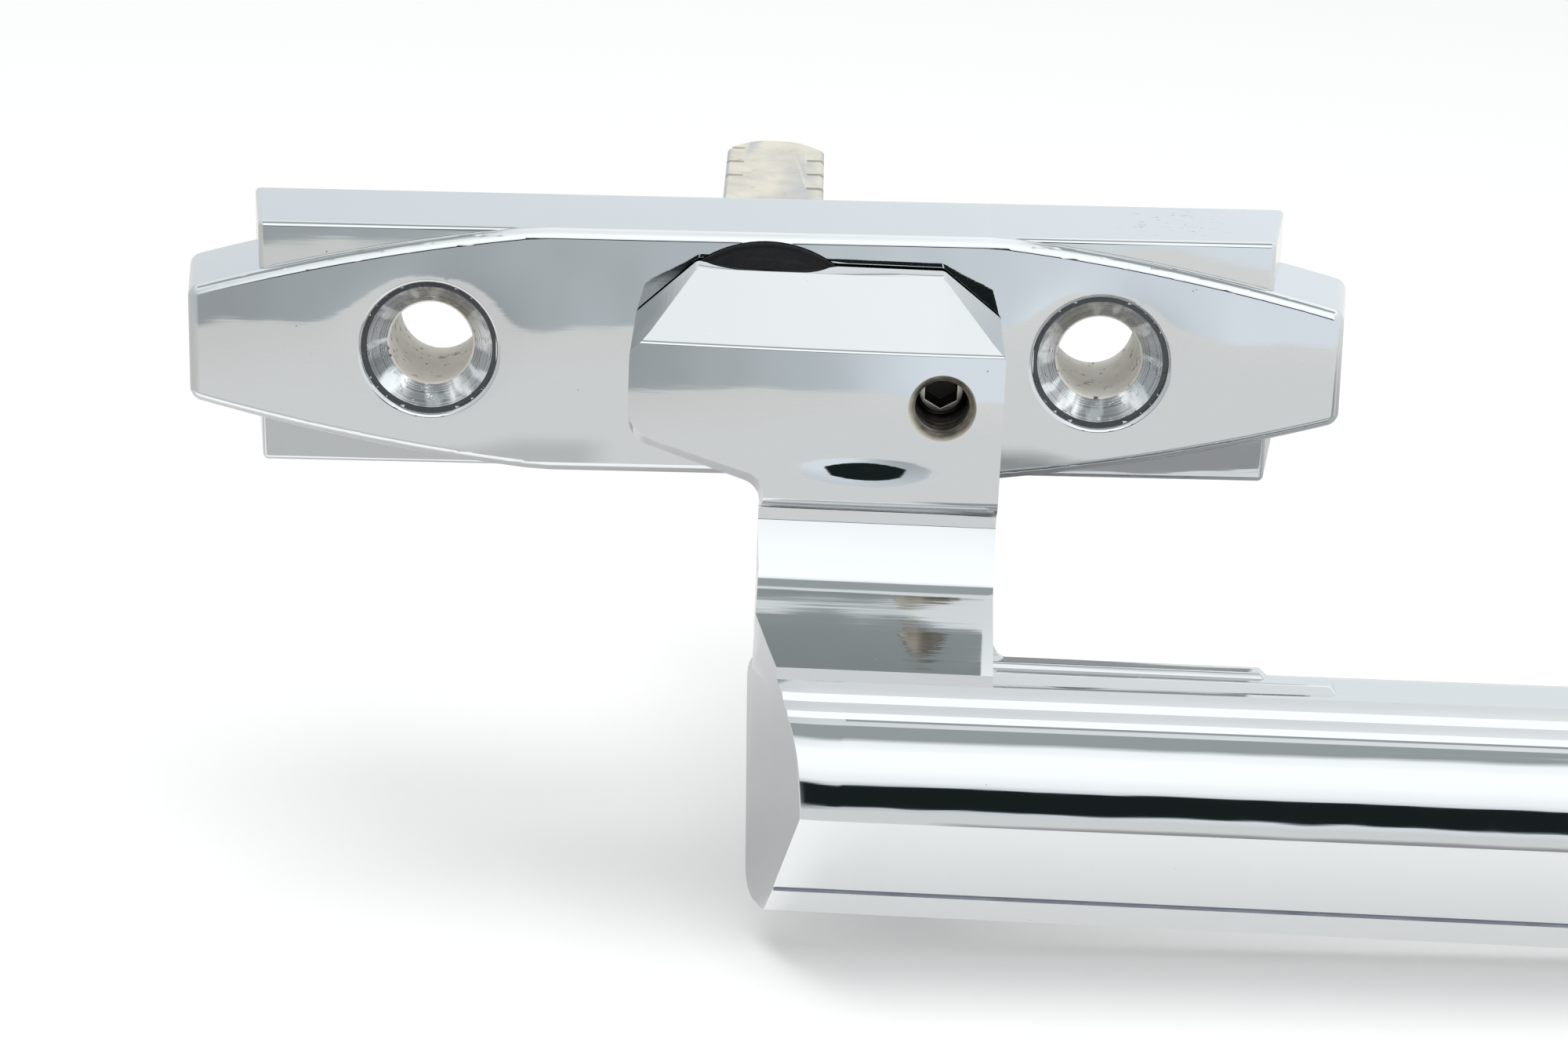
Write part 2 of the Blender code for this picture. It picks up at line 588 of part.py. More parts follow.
def build_cover_screws(material):
    """Countersunk screws with a cross slot, flush with the cover."""
    screws = []
    for side, (x, z) in COVER_SCREW_PLACES.items():
        screw = make_object(f"cover_screw_{side}", turned([
            (0, COVER_SCREW_TIP), (COVER_SCREW_SHANK - 0.3 * MM, COVER_SCREW_TIP),
            (COVER_SCREW_SHANK, COVER_SCREW_TIP + 0.3 * MM),
            (COVER_SCREW_SHANK, -COVER_THICKNESS), (1.55 * MM, -0.05 * MM), (0, -0.05 * MM)],
            steps=24), material)
        screw.location = (x, 0, z)
        arm, half_width = 1.0 * MM, 0.18 * MM
        cross = [(arm, -half_width), (arm, half_width), (half_width, half_width),
                 (half_width, arm), (-half_width, arm), (-half_width, half_width),
                 (-arm, half_width), (-arm, -half_width), (-half_width, -half_width),
                 (-half_width, -arm), (half_width, -arm), (half_width, -half_width)]
        slot = make_object(f"cover_screw_slot_{side}", prism("XZ", cross, -0.55 * MM, MM))
        slot.location = (x, 0, z)
        cut(screw, slot)
        screws.append(screw)
    return screws


def build_lock_screw(material, lever_axis):
    """Socket set screw in the boss, modelled at its thread's minor diameter."""
    chamfer, point = 0.25 * MM, 0.6 * MM
    screw = make_object("lock_screw", turned([
        (0, LOCK_SCREW_FRONT), (LOCK_SCREW_RADIUS - chamfer, LOCK_SCREW_FRONT),
        (LOCK_SCREW_RADIUS, LOCK_SCREW_FRONT + chamfer),
        (LOCK_SCREW_RADIUS, LOCK_SCREW_TIP - point), (LOCK_SCREW_RADIUS - point, LOCK_SCREW_TIP),
        (0, LOCK_SCREW_TIP)], steps=32), material, lever_axis)
    screw.location = (LOCK_OFFSET, 0, 0)
    key_corner = 1.0 * MM / math.cos(math.pi / 6)
    hexagon = arc((0, 0), key_corner, 30, 330, 5)
    key = make_object("lock_screw_key", prism("XZ", hexagon, LOCK_SCREW_FRONT - MM,
                                              LOCK_SCREW_FRONT + 2 * MM), parent=lever_axis)
    key.location = (LOCK_OFFSET, 0, 0)
    cut(screw, key)
    return screw


def main():
    clear_scene()
    chrome = finish_material("chrome", (0.78, 0.79, 0.80), 0.06, 1.0)
    zinc = finish_material("raw_zinc", (0.66, 0.63, 0.54), 0.5, 0.6)
    nylon = finish_material("black_nylon", (0.012, 0.012, 0.012), 0.5, 0.0)
    steel = finish_material("spring_steel", (0.42, 0.42, 0.43), 0.3, 1.0)
    plated = finish_material("plated_steel", (0.62, 0.60, 0.52), 0.35, 1.0)
    dark = finish_material("dark_steel", (0.10, 0.10, 0.11), 0.4, 1.0)

    handle = bpy.data.objects.new("handle", None)
    lever_axis = bpy.data.objects.new("lever_axis", None)
    for empty in (handle, lever_axis):
        bpy.context.scene.collection.objects.link(empty)
    handle.location = (0, -SPINDLE_TIP, 0)
    lever_axis.rotation_euler = (0, LEVER_REST_TILT, 0)

    build_backplate(chrome, lever_axis)
    build_lever(chrome, lever_axis)
    build_spindle(zinc, lever_axis)
    build_spindle_pin(steel, lever_axis)
    build_front_bearing(nylon)
    make_object("thrust_washer", ring(WASHER_INNER, WASHER_OUTER, -6.1 * MM, -5.4 * MM), steel)
    build_index_cam(steel, lever_axis)
    build_leaf_spring("detent_spring_left", -1, steel)
    build_leaf_spring("detent_spring_right", 1, steel)
    build_stop_plate(steel, lever_axis)
    build_wave_washer(steel, lever_axis)
    make_object("flat_washer", ring(WASHER_INNER, WASHER_OUTER - 0.1 * MM, -1.82 * MM,
                                    -1.58 * MM), plated, lever_axis)
    build_retaining_clip(steel, lever_axis)
    build_rear_cover(plated)
    build_cover_screws(plated)
    build_lock_screw(dark, lever_axis)
    for piece in bpy.context.scene.objects:
        if piece.parent is None and piece is not handle:
            piece.parent = handle
    bpy.context.view_layer.update()


main()
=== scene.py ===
"""Looks of the offset locking window handle: polished chrome, cream zinc, nylon and plated steel.

Frame: X along the backplate, Y into the window, Z up. The pieces are built with the
backplate's back face at y = 0 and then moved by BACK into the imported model's frame.
The visible castings are rebuilt here with finer edges, crowned faces and polished dishes. The
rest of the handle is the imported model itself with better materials.
"""

import math

import bmesh
import bpy
from mathutils import Matrix, Vector


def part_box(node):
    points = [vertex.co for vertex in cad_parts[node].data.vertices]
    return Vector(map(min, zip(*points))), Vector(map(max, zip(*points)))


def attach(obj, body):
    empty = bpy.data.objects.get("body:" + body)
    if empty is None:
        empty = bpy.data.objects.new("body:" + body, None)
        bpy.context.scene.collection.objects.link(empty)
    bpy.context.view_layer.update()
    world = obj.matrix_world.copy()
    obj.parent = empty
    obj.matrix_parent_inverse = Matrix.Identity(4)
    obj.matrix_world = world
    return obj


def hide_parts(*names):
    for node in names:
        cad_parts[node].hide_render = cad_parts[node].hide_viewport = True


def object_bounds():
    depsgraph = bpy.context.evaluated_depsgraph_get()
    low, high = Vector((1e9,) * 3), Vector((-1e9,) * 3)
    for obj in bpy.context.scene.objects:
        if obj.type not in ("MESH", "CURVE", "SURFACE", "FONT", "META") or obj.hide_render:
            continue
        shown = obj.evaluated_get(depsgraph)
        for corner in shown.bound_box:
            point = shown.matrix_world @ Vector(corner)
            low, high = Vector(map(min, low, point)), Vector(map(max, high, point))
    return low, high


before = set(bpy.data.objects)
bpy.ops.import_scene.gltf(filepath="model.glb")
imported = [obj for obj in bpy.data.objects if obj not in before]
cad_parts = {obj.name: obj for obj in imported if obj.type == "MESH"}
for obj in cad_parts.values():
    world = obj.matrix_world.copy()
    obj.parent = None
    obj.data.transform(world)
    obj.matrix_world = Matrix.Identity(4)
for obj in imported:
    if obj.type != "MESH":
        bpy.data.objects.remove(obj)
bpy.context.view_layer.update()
MM = 0.001

# ---- sizes, some read from the imported model and the rest given ------------------------------
LEVER_TILT = math.radians(1.2)
BACK = Vector((0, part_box("backplate")[1].y, 0))


def cad_box(node):
    """A node's two corners, measured from the backplate's back face."""
    low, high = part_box(node)
    return low - BACK, high - BACK


PLATE_LOW, PLATE_HIGH = cad_box("backplate")
SCREW_LOW, SCREW_HIGH = cad_box("lock_screw")
COVER_LOW, COVER_HIGH = cad_box("rear_cover")
SPINDLE_LOW, SPINDLE_HIGH = cad_box("spindle")

BAND_HALF_BACK = PLATE_HIGH.x
BAND_HALF_FRONT = BAND_HALF_BACK - 1.2 * MM
BAND_FRONT = PLATE_LOW.y
BAND_END_HALF_HEIGHT, BAND_APEX, BAND_CLIP = 3.4 * MM, 8.9 * MM, 8.1 * MM
BAND_CROWN_RADIUS = 92 * MM
WING_HALF_BACK, WING_HALF_FRONT, WING_HALF_HEIGHT = 33.7 * MM, 32.4 * MM, 8.05 * MM
WING_FRONT, WING_LEAN = BAND_FRONT + 0.85 * MM, 0.08
HOLE_X = 21.5 * MM
RIM_RADIUS, CONE_RADIUS, BORE_RADIUS = 4.35 * MM, 4.05 * MM, 2.7 * MM
FLANGE_POCKET, FLANGE_FLOOR = 7.6 * MM, -8.35 * MM
BEARING_BORE = 6.65 * MM
POCKET_FLOOR = -6.2 * MM
COVER_THICKNESS = COVER_HIGH.y - COVER_LOW.y
COVER_SCREW_X, COVER_SCREW_Z = 10.2 * MM, 4.6 * MM
LOCK_X = 11.2 * MM
LOCK_SOCKET_RADIUS, LOCK_SOCKET_FLOOR = 2.1 * MM, -7.5 * MM

BOSS_FRONT, BOSS_BACK = -19.2 * MM, BAND_FRONT - 0.3 * MM
RECESS_FLOOR = BOSS_BACK - 1.7 * MM
ARM_LEFT, ARM_BACK, ARM_TOP, ARM_RIDGE = -0.3 * MM, -19.8 * MM, -15.9 * MM, -23.4 * MM
LEVER_REACH = 118 * MM
END_SLOPE, END_LEAN, GRIP_FLARE = 0.35, 0.03, 1.08
SCUFF_PLACE = (26.0 * MM, BACK.y - 4.5 * MM, 9.2 * MM)
GRIP_LINE = (-25.2 * MM, -30.0 * MM)
COVE_TOP, COVE_FOOT = (-17.8 * MM, -8.1 * MM), (-25.3 * MM, -15.2 * MM)
COVE_LEAN = ((0.0, 15.8), (0.338, 20.0), (0.465, 28.0), (0.53, 49.5), (0.555, 56.6),
             (0.66, 58.4), (0.80, 61.8), (1.0, 65.6))
BELLY_LEAN = ((0.0, 45.0), (0.19, 33.0), (0.35, 22.0), (0.55, 13.7), (0.83, 8.8), (1.0, 2.5))
SQUARE = 7 * MM
PIN_BORE_RADIUS, PIN_Y = 1.05 * MM, -14 * MM
FLOOR_GAP = 0.05 * MM


# ---- mesh helpers ---------------------------------------------------------------------------
def new_object(name, builder):
    """An object from a bmesh, its faces turned outward."""
    bmesh.ops.remove_doubles(builder, verts=builder.verts, dist=1e-7)
    bmesh.ops.recalc_face_normals(builder, faces=builder.faces)
    mesh = bpy.data.meshes.new(name)
    builder.to_mesh(mesh)
    builder.free()
    piece = bpy.data.objects.new(name, mesh)
    bpy.context.scene.collection.objects.link(piece)
    return piece


def bake(piece):
    """Applies the piece's modifiers to its mesh."""
    bpy.context.view_layer.update()
    evaluated = piece.evaluated_get(bpy.context.evaluated_depsgraph_get())
    mesh = bpy.data.meshes.new_from_object(evaluated)
    old = piece.data
    piece.modifiers.clear()
    piece.data = mesh
    bpy.data.meshes.remove(old)
    return piece


def boolean(piece, operation, *tools):
    """Combines piece with each tool in turn and removes the tools."""
    for tool in tools:
        modifier = piece.modifiers.new(tool.name, "BOOLEAN")
        modifier.operation = operation
        modifier.solver = "EXACT"
        modifier.object = tool
    bake(piece)
    for tool in tools:
        bpy.data.objects.remove(tool, do_unlink=True)
    return piece


def round_edges(piece, width, segments=4, angle=25):
    modifier = piece.modifiers.new("edges", "BEVEL")
    modifier.width = width
    modifier.segments = segments
    modifier.limit_method = "ANGLE"
    modifier.angle_limit = math.radians(angle)
    return bake(piece)


def arc(centre, radius, start, end, steps):
    """Points on an arc in a plane, both ends included; angles in degrees."""
    turns = [math.radians(start + (end - start) * i / steps) for i in range(steps + 1)]
    return [(centre[0] + radius * math.cos(a), centre[1] + radius * math.sin(a)) for a in turns]


def leaning_curve(top, bottom, leans, steps):
    """Points from top down to bottom, as (y, z), facing upward by leans' (share, degrees)."""
    points, depth = [], 0.0
    for i in range(steps + 1):
        points.append((depth, top[1] + (bottom[1] - top[1]) * i / steps))
        share = min(1.0, (i + 0.5) / steps)
        for (low, start), (high, end) in zip(leans, leans[1:]):
            if low <= share <= high:
                lean = start + (end - start) * (share - low) / (high - low)
        depth += math.tan(math.radians(lean))
    scale = (bottom[0] - top[0]) / points[-1][0]
    return [(top[0] + y * scale, z) for y, z in points]


def rounded(corners, steps=6):
    """Outline through (u, v, radius) corners, each rounded by a tangent arc of its radius."""
    outline = []
    for i, (u, v, radius) in enumerate(corners):
        here = Vector((u, v))
        if radius == 0:
            outline.append((u, v))
            continue
        before = (Vector(corners[i - 1][:2]) - here).normalized()
        after = (Vector(corners[(i + 1) % len(corners)][:2]) - here).normalized()
        half = before.angle(after) / 2
        centre = here + (before + after).normalized() * (radius / math.sin(half))
        first = here + before * (radius / math.tan(half)) - centre
        sweep = first.angle_signed(here + after * (radius / math.tan(half)) - centre)
        for k in range(steps + 1):
            spoke = first.copy()
            spoke.rotate(Matrix.Rotation(-sweep * k / steps, 2))
            outline.append(tuple(centre + spoke))
    return outline


def loft(sections):
    """Closed body through same-length loops of 3-D points."""
    builder = bmesh.new()
    loops = [[builder.verts.new(point) for point in section] for section in sections]
    for lower, upper in zip(loops, loops[1:]):
        count = len(lower)
        for i in range(count):
            j = (i + 1) % count
            builder.faces.new((lower[i], lower[j], upper[j], upper[i]))
    builder.faces.new(loops[0])
    builder.faces.new(loops[-1])
    return builder


def prism(plane, outline, start, end):
    """Body along Y from an (x, z) outline, or along X from a (y, z) outline."""
    if plane == "XZ":
        return loft([[(u, depth, v) for u, v in outline] for depth in (start, end)])
    return loft([[(depth, u, v) for u, v in outline] for depth in (start, end)])


def turned(profile, centre=(0.0, 0.0), steps=96, closed=False):
    """Body turned about a line along Y through centre (x, z) from (radius, y) points."""
    builder = bmesh.new()
    verts = [builder.verts.new((centre[0] + r, y, centre[1])) for r, y in profile]
    pairs = list(zip(verts, verts[1:]))
    if closed:
        pairs.append((verts[-1], verts[0]))
    edges = [builder.edges.new(pair) for pair in pairs]
    bmesh.ops.spin(builder, geom=verts + edges, cent=(centre[0], 0, centre[1]),
                   axis=(0, 1, 0), angle=math.tau, steps=steps, use_merge=True)
    return builder


def rod(radius, start, end, centre=(0.0, 0.0), steps=96):
    return turned([(0, start), (radius, start), (radius, end), (0, end)], centre, steps)


def block(half_x, half_z, start, end, radius):
    corners = [(-half_x, -half_z, radius), (half_x, -half_z, radius),
               (half_x, half_z, radius), (-half_x, half_z, radius)]
    return prism("XZ", rounded(corners, 6), start, end)


def slice_up(piece, axis, start, end, pitch, limit=None):
    """Cuts the faces by parallel planes, so that a flat face has points enough to be bent."""
    builder = bmesh.new()
    builder.from_mesh(piece.data)
    extent = builder.faces.layers.float.get("extent")
    if extent is None:
        extent = builder.faces.layers.float.new("extent")
        for face in builder.faces:
            face[extent] = face.calc_area()
    normal = Vector([float(k == "XYZ".index(axis)) for k in range(3)])
    count = max(1, round((end - start) / pitch))
    for i in range(count + 1):
        place = start + (end - start) * i / count
        faces = [f for f in builder.faces if limit is None or limit(f.calc_center_median())]
        edges = {e for f in faces for e in f.edges}
        verts = {v for f in faces for v in f.verts}
        bmesh.ops.bisect_plane(builder, geom=faces + list(edges) + list(verts), dist=1e-8,
                               plane_co=normal * place, plane_no=normal)
    builder.to_mesh(piece.data)
    builder.free()


def bend(piece, shift):
    """Moves every point by shift(x, y, z), a smooth function that returns an offset along Y."""
    for vert in piece.data.vertices:
        vert.co.y += shift(*vert.co)


def shade(mesh, sharp):
    """Normals in which a broad face keeps its own, so that only the rounded edges turn."""
    mesh.shade_smooth()
    extent = mesh.attributes.get("extent")
    weights = [a.value for a in extent.data] if extent else [f.area for f in mesh.polygons]
    own = [face.normal.copy() for face in mesh.polygons]
    around = [[] for _ in mesh.vertices]
    for face in mesh.polygons:
        for vertex in face.vertices:
            around[vertex].append(face.index)
    limit = math.cos(math.radians(sharp))
    normals = []
    for face in mesh.polygons:
        for vertex in face.vertices:
            total = Vector()
            for other in around[vertex]:
                if own[other].dot(own[face.index]) > limit:
                    total += own[other] * weights[other]
            normals.append(total.normalized() if total.length > 0 else own[face.index])
    if extent:
        mesh.attributes.remove(extent)
    mesh.normals_split_custom_set(normals)


def finish(piece, materials, body, replaced=None, sharp=34, tilt=False, pick=None):
    """Gives a piece its materials, moves it into the frame, shades it and sets it on its body."""
    mesh = piece.data
    mesh.materials.clear()
    for material in materials:
        mesh.materials.append(material)
    for face in mesh.polygons:
        face.material_index = pick(face.center, face.normal) if pick else 0
    if tilt:
        mesh.transform(Matrix.Rotation(LEVER_TILT, 4, "Y"))
    mesh.transform(Matrix.Translation(BACK))
    shade(mesh, sharp)
    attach(piece, body)
    if replaced:
        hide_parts(replaced)
    return piece


def smooth_step(low, high, value):
    t = min(1.0, max(0.0, (value - low) / (high - low)))
    return t * t * (3 - 2 * t)


# ---- node helpers ---------------------------------------------------------------------------
class Nodes:
    """Short hand for building a node tree."""

    def __init__(self, tree):
        self.tree = tree
        tree.nodes.clear()

    def add(self, kind, values=None, **settings):
        node = self.tree.nodes.new(kind)
        for key, value in settings.items():
            setattr(node, key, value)
        for key, value in (values or {}).items():
            if isinstance(value, bpy.types.NodeSocket):
                self.tree.links.new(value, node.inputs[key])
            else:
                node.inputs[key].default_value = value
        return node

    def math(self, operation, a, b=0.0):
        return self.add("ShaderNodeMath", {0: a, 1: b}, operation=operation).outputs[0]

    def scaled(self, value, factor, offset):
        return self.add("ShaderNodeMath", {0: value, 1: factor, 2: offset},
                        operation="MULTIPLY_ADD").outputs[0]

    def ramp(self, value, stops):
        """Value or colour ramp; each stop is (place, number or colour)."""
        node = self.add("ShaderNodeValToRGB", {0: value})
        band = node.color_ramp
        band.interpolation = "LINEAR"
        while len(band.elements) < len(stops):
            band.elements.new(0.5)
        for element, (place, colour) in zip(band.elements, stops):
            element.position = place
            if not isinstance(colour, tuple):
                colour = (colour, colour, colour)
            element.color = (*colour, 1.0)
        return node.outputs[0]

    def noise(self, vector, scale, detail=2.0, roughness=0.5):
        return self.add("ShaderNodeTexNoise", {
            "Vector": vector, "Scale": scale, "Detail": detail,
            "Roughness": roughness}).outputs[0]

    def stretched(self, vector, scale):
        return self.add("ShaderNodeVectorMath", {0: vector, 1: scale},
                        operation="MULTIPLY").outputs[0]

    def mix(self, factor, a, b):
        node = self.add("ShaderNodeMix", {0: factor}, data_type="RGBA")
        for socket, value in ((node.inputs[6], a), (node.inputs[7], b)):
            if isinstance(value, bpy.types.NodeSocket):
                self.tree.links.new(value, socket)
            else:
                socket.default_value = (*value, 1.0)
        return node.outputs[2]

    def bump(self, height, distance, normal=None):
        values = {"Height": height, "Distance": distance, "Strength": 1.0}
        if normal:
            values["Normal"] = normal
        return self.add("ShaderNodeBump", values).outputs[0]


def new_material(name):
    material = bpy.data.materials.new(name)
    material.use_nodes = True
    return material, Nodes(material.node_tree)


def close_material(nodes, values):
    shader = nodes.add("ShaderNodeBsdfPrincipled", values)
    nodes.add("ShaderNodeOutputMaterial", {0: shader.outputs[0]})


# ---- materials ------------------------------------------------------------------------------
def chrome_material():
    """Hand-polished casting under bright chrome: long ripples, polishing lines, a few pits."""
    material, n = new_material("polished_chrome")
    place = n.add("ShaderNodeTexCoord").outputs["Object"]
    ripple = n.noise(place, 70.0, 2.0, 0.45)
    lines = n.noise(n.stretched(place, (90.0, 1700.0, 1700.0)), 1.0, 3.0, 0.6)
    haze = n.noise(place, 260.0, 4.0, 0.6)
    cells = n.add("ShaderNodeTexVoronoi", {"Vector": place, "Scale": 2600.0}).outputs["Distance"]
    patch = n.ramp(n.noise(place, 1100.0, 1.0), [(0.74, 0.0), (0.80, 1.0)])
    pits = n.math("MULTIPLY", n.ramp(cells, [(0.06, 1.0), (0.18, 0.0)]), patch)
    scuffed = n.add("ShaderNodeVectorMath", {0: place, 1: SCUFF_PLACE},
                    operation="DISTANCE").outputs["Value"]
    scuffs = n.noise(n.stretched(place, (900.0, 2600.0, 2600.0)), 1.0, 4.0, 0.75)
    scuffs = n.math("MULTIPLY", n.ramp(scuffs, [(0.60, 0.0), (0.66, 1.0)]),
                    n.ramp(n.math("MULTIPLY", scuffed, 100.0), [(0.25, 1.0), (0.46, 0.0)]))
    pits = n.math("MAXIMUM", pits, n.math("MULTIPLY", scuffs, 0.8))
    normal = n.bump(ripple, 0.15 * MM)
    normal = n.bump(lines, 0.0011 * MM, normal=normal)
    normal = n.bump(n.math("MULTIPLY", pits, -1.0), 0.01 * MM, normal=normal)
    colour = n.mix(pits, (0.63, 0.645, 0.65), (0.30, 0.30, 0.29))
    rough = n.ramp(haze, [(0.35, 0.02), (0.75, 0.05)])
    rough = n.math("ADD", rough, n.math("MULTIPLY", pits, 0.35))
    close_material(n, {"Base Color": colour, "Metallic": 1.0, "Roughness": rough,
                       "Normal": normal})
    return material


def zinc_material():
    """Unplated cream zinc of the spindle: grainy, with grey rubs and darker specks."""
    material, n = new_material("cream_zinc")
    place = n.add("ShaderNodeTexCoord").outputs["Object"]
    grain = n.noise(place, 2600.0, 3.0, 0.7)
    cloud = n.noise(place, 380.0, 3.0, 0.6)
    specks = n.ramp(n.noise(place, 1500.0, 2.0), [(0.66, 0.0), (0.74, 1.0)])
    worn = n.ramp(n.add("ShaderNodeNewGeometry").outputs["Pointiness"],
                  [(0.53, 0.0), (0.60, 1.0)])
    cream = n.mix(n.ramp(cloud, [(0.35, 0.0), (0.70, 1.0)]), (0.74, 0.70, 0.60),
                  (0.56, 0.54, 0.49))
    colour = n.mix(n.math("MULTIPLY", specks, 0.5), cream, (0.30, 0.27, 0.22))
    colour = n.mix(n.math("MULTIPLY", worn, 0.6), colour, (0.50, 0.52, 0.53))
    normal = n.bump(grain, 0.03 * MM)
    close_material(n, {"Base Color": colour, "Metallic": n.math("MULTIPLY", worn, 0.7),
                       "Roughness": 0.55, "Normal": normal})
    return material


def nylon_material():
    material, n = new_material("black_nylon_moulded")
    place = n.add("ShaderNodeTexCoord").outputs["Object"]
    fine = n.noise(place, 3200.0, 3.0, 0.6)
    rubs = n.noise(n.stretched(place, (400.0, 2500.0, 400.0)), 1.0, 2.0)
    colour = n.mix(n.ramp(rubs, [(0.5, 0.0), (0.8, 1.0)]), (0.006, 0.006, 0.007),
                   (0.014, 0.014, 0.015))
    close_material(n, {"Base Color": colour, "Roughness": n.ramp(fine, [(0.3, 0.55), (0.8, 0.75)]),
                       "Specular IOR Level": 0.16, "Normal": n.bump(fine, 0.01 * MM)})
    return material


def steel_material(name, colour, clouded, roughness):
    """Steel with fine drawn marks, clouded between two colours."""
    material, n = new_material(name)
    place = n.add("ShaderNodeTexCoord").outputs["Object"]
    cloud = n.noise(place, 300.0, 4.0, 0.6)
    marks = n.noise(n.stretched(place, (300.0, 2600.0, 2600.0)), 1.0, 3.0, 0.6)
    mixed = n.mix(n.ramp(cloud, [(0.35, 0.0), (0.7, 1.0)]), colour, clouded)
    normal = n.bump(marks, 0.004 * MM)
    rough = n.ramp(cloud, [(0.3, roughness * 0.8), (0.8, roughness * 1.3)])
    close_material(n, {"Base Color": mixed, "Metallic": 1.0, "Roughness": rough,
                       "Normal": normal})
    return material


def thread_material():
    """Tapped bore: cream bare metal at its mouth, and the threads behind it darkened by painted
    shade.
    """
    material, n = new_material("worn_thread_painted_shade")
    place = n.add("ShaderNodeTexCoord").outputs["Object"]
    depth = n.add("ShaderNodeSeparateXYZ", {0: place}).outputs[1]
    edge = n.noise(place, 900.0, 2.0)
    depth = n.math("SUBTRACT", depth, BOSS_FRONT + BACK.y)
    depth = n.math("ADD", depth, n.math("MULTIPLY", edge, 0.2 * MM))
    rim = n.ramp(n.math("MULTIPLY", depth, 1.0 / MM), [(0.20, 1.0), (0.42, 0.0)])
    cloud = n.noise(place, 600.0, 3.0)
    # Painted shade: the threads deeper in the bore are painted dark.
    inside = n.mix(n.ramp(cloud, [(0.4, 0.0), (0.65, 1.0)]), (0.055, 0.050, 0.042),
                   (0.20, 0.18, 0.15))
    colour = n.mix(rim, inside, (0.62, 0.56, 0.45))
    close_material(n, {"Base Color": colour, "Metallic": 0.85, "Roughness": 0.34,
                       "Normal": n.bump(cloud, 0.01 * MM)})
    return material


def hole_material():
    """Inside of a fixing hole: turned grey cone with painted glints, a shelf in painted shade, then
    a cream unplated bore with specks.
    """
    material, n = new_material("machined_hole")
    place = n.add("ShaderNodeTexCoord").outputs["Object"]
    axes = n.add("ShaderNodeSeparateXYZ", {0: place})
    side = n.math("SUBTRACT", n.math("ABSOLUTE", axes.outputs[0]), HOLE_X)
    spread = n.add("ShaderNodeCombineXYZ", {0: side, 1: 0.0, 2: axes.outputs[2]})
    radius = n.add("ShaderNodeVectorMath", {0: spread.outputs[0]},
                   operation="LENGTH").outputs["Value"]
    in_bore = n.math("LESS_THAN", radius, BORE_RADIUS + 0.12 * MM)
    shelf_in_painted_shade = n.math("GREATER_THAN", radius, CONE_RADIUS - 0.02 * MM)
    specks = n.ramp(n.noise(place, 1300.0, 3.0, 0.7), [(0.61, 0.0), (0.66, 1.0)])
    cloud = n.noise(place, 420.0, 3.0)
    cream = n.mix(n.ramp(cloud, [(0.35, 0.0), (0.7, 1.0)]), (0.84, 0.82, 0.77),
                  (0.70, 0.67, 0.60))
    cream = n.mix(specks, cream, (0.08, 0.07, 0.06))
    tool_rings = n.noise(n.add("ShaderNodeCombineXYZ", {0: radius}).outputs[0], 9000.0, 2.0, 0.7)
    cone = n.mix(n.ramp(tool_rings, [(0.38, 0.0), (0.62, 1.0)]), (0.30, 0.30, 0.30),
                 (0.56, 0.57, 0.58))
    # Painted highlight: bright radial glints, set by the angle round the hole, are painted into the
    # cone's colour.
    turn = n.math("ARCTAN2", axes.outputs[2], side)
    painted_glints = n.noise(n.add("ShaderNodeCombineXYZ", {0: turn, 1: n.math(
        "MULTIPLY", radius, 150.0)}).outputs[0], 3.2, 2.0)
    cone = n.mix(n.ramp(painted_glints, [(0.50, 0.0), (0.62, 1.0)]), cone, (0.80, 0.81, 0.81))
    # Painted shade: the thin recessed shelf outside the cone is painted near black.
    cone = n.mix(shelf_in_painted_shade, cone, (0.08, 0.085, 0.09))
    colour = n.mix(in_bore, cone, cream)
    rough = n.math("ADD", n.math("MULTIPLY", in_bore, 0.33), 0.17)
    normal = n.bump(tool_rings, 0.016 * MM)
    normal = n.bump(n.math("MULTIPLY", specks, -1.0), 0.02 * MM, normal=normal)
    close_material(n, {"Base Color": colour, "Roughness": rough, "Normal": normal,
                       "Metallic": n.math("SUBTRACT", 1.0, in_bore)})
    return material


# ---- backplate ------------------------------------------------------------------------------
def band_height(x):
    """Half-height of the boat-shaped band: a shallow arc, clipped at the middle."""
    drop = (BAND_APEX - BAND_END_HALF_HEIGHT) / BAND_HALF_BACK ** 2
    return min(BAND_CLIP, BAND_APEX - drop * x * x)


def band_outline(half_length, steps=48):
    side = []
    for i in range(steps + 1):
        x = half_length * (1 - 2 * i / steps)
        side.append((x, band_height(x)))
    return side + [(-x, -z) for x, z in side]


def hole_cutter(name, x):
    """Fixing hole: softly rounded polished rim, thin shelf, countersink and bore."""
    rim = 0.28 * MM
    depth = CONE_RADIUS - BORE_RADIUS
    shelf = BAND_FRONT + 0.45 * MM
    lip = [(RIM_RADIUS + rim - r, BAND_FRONT + 0.02 * MM + y) for r, y in
           arc((0, rim), rim, -90, 0, 6)]
    profile = [(0, BAND_FRONT - 2 * MM), (RIM_RADIUS + rim, BAND_FRONT - 2 * MM)]
    profile += lip
    profile += [(RIM_RADIUS, shelf), (CONE_RADIUS, shelf), (BORE_RADIUS, shelf + depth),
                (BORE_RADIUS, 2 * MM), (0, 2 * MM)]
    return new_object(name, turned(profile, (x, 0), 128))


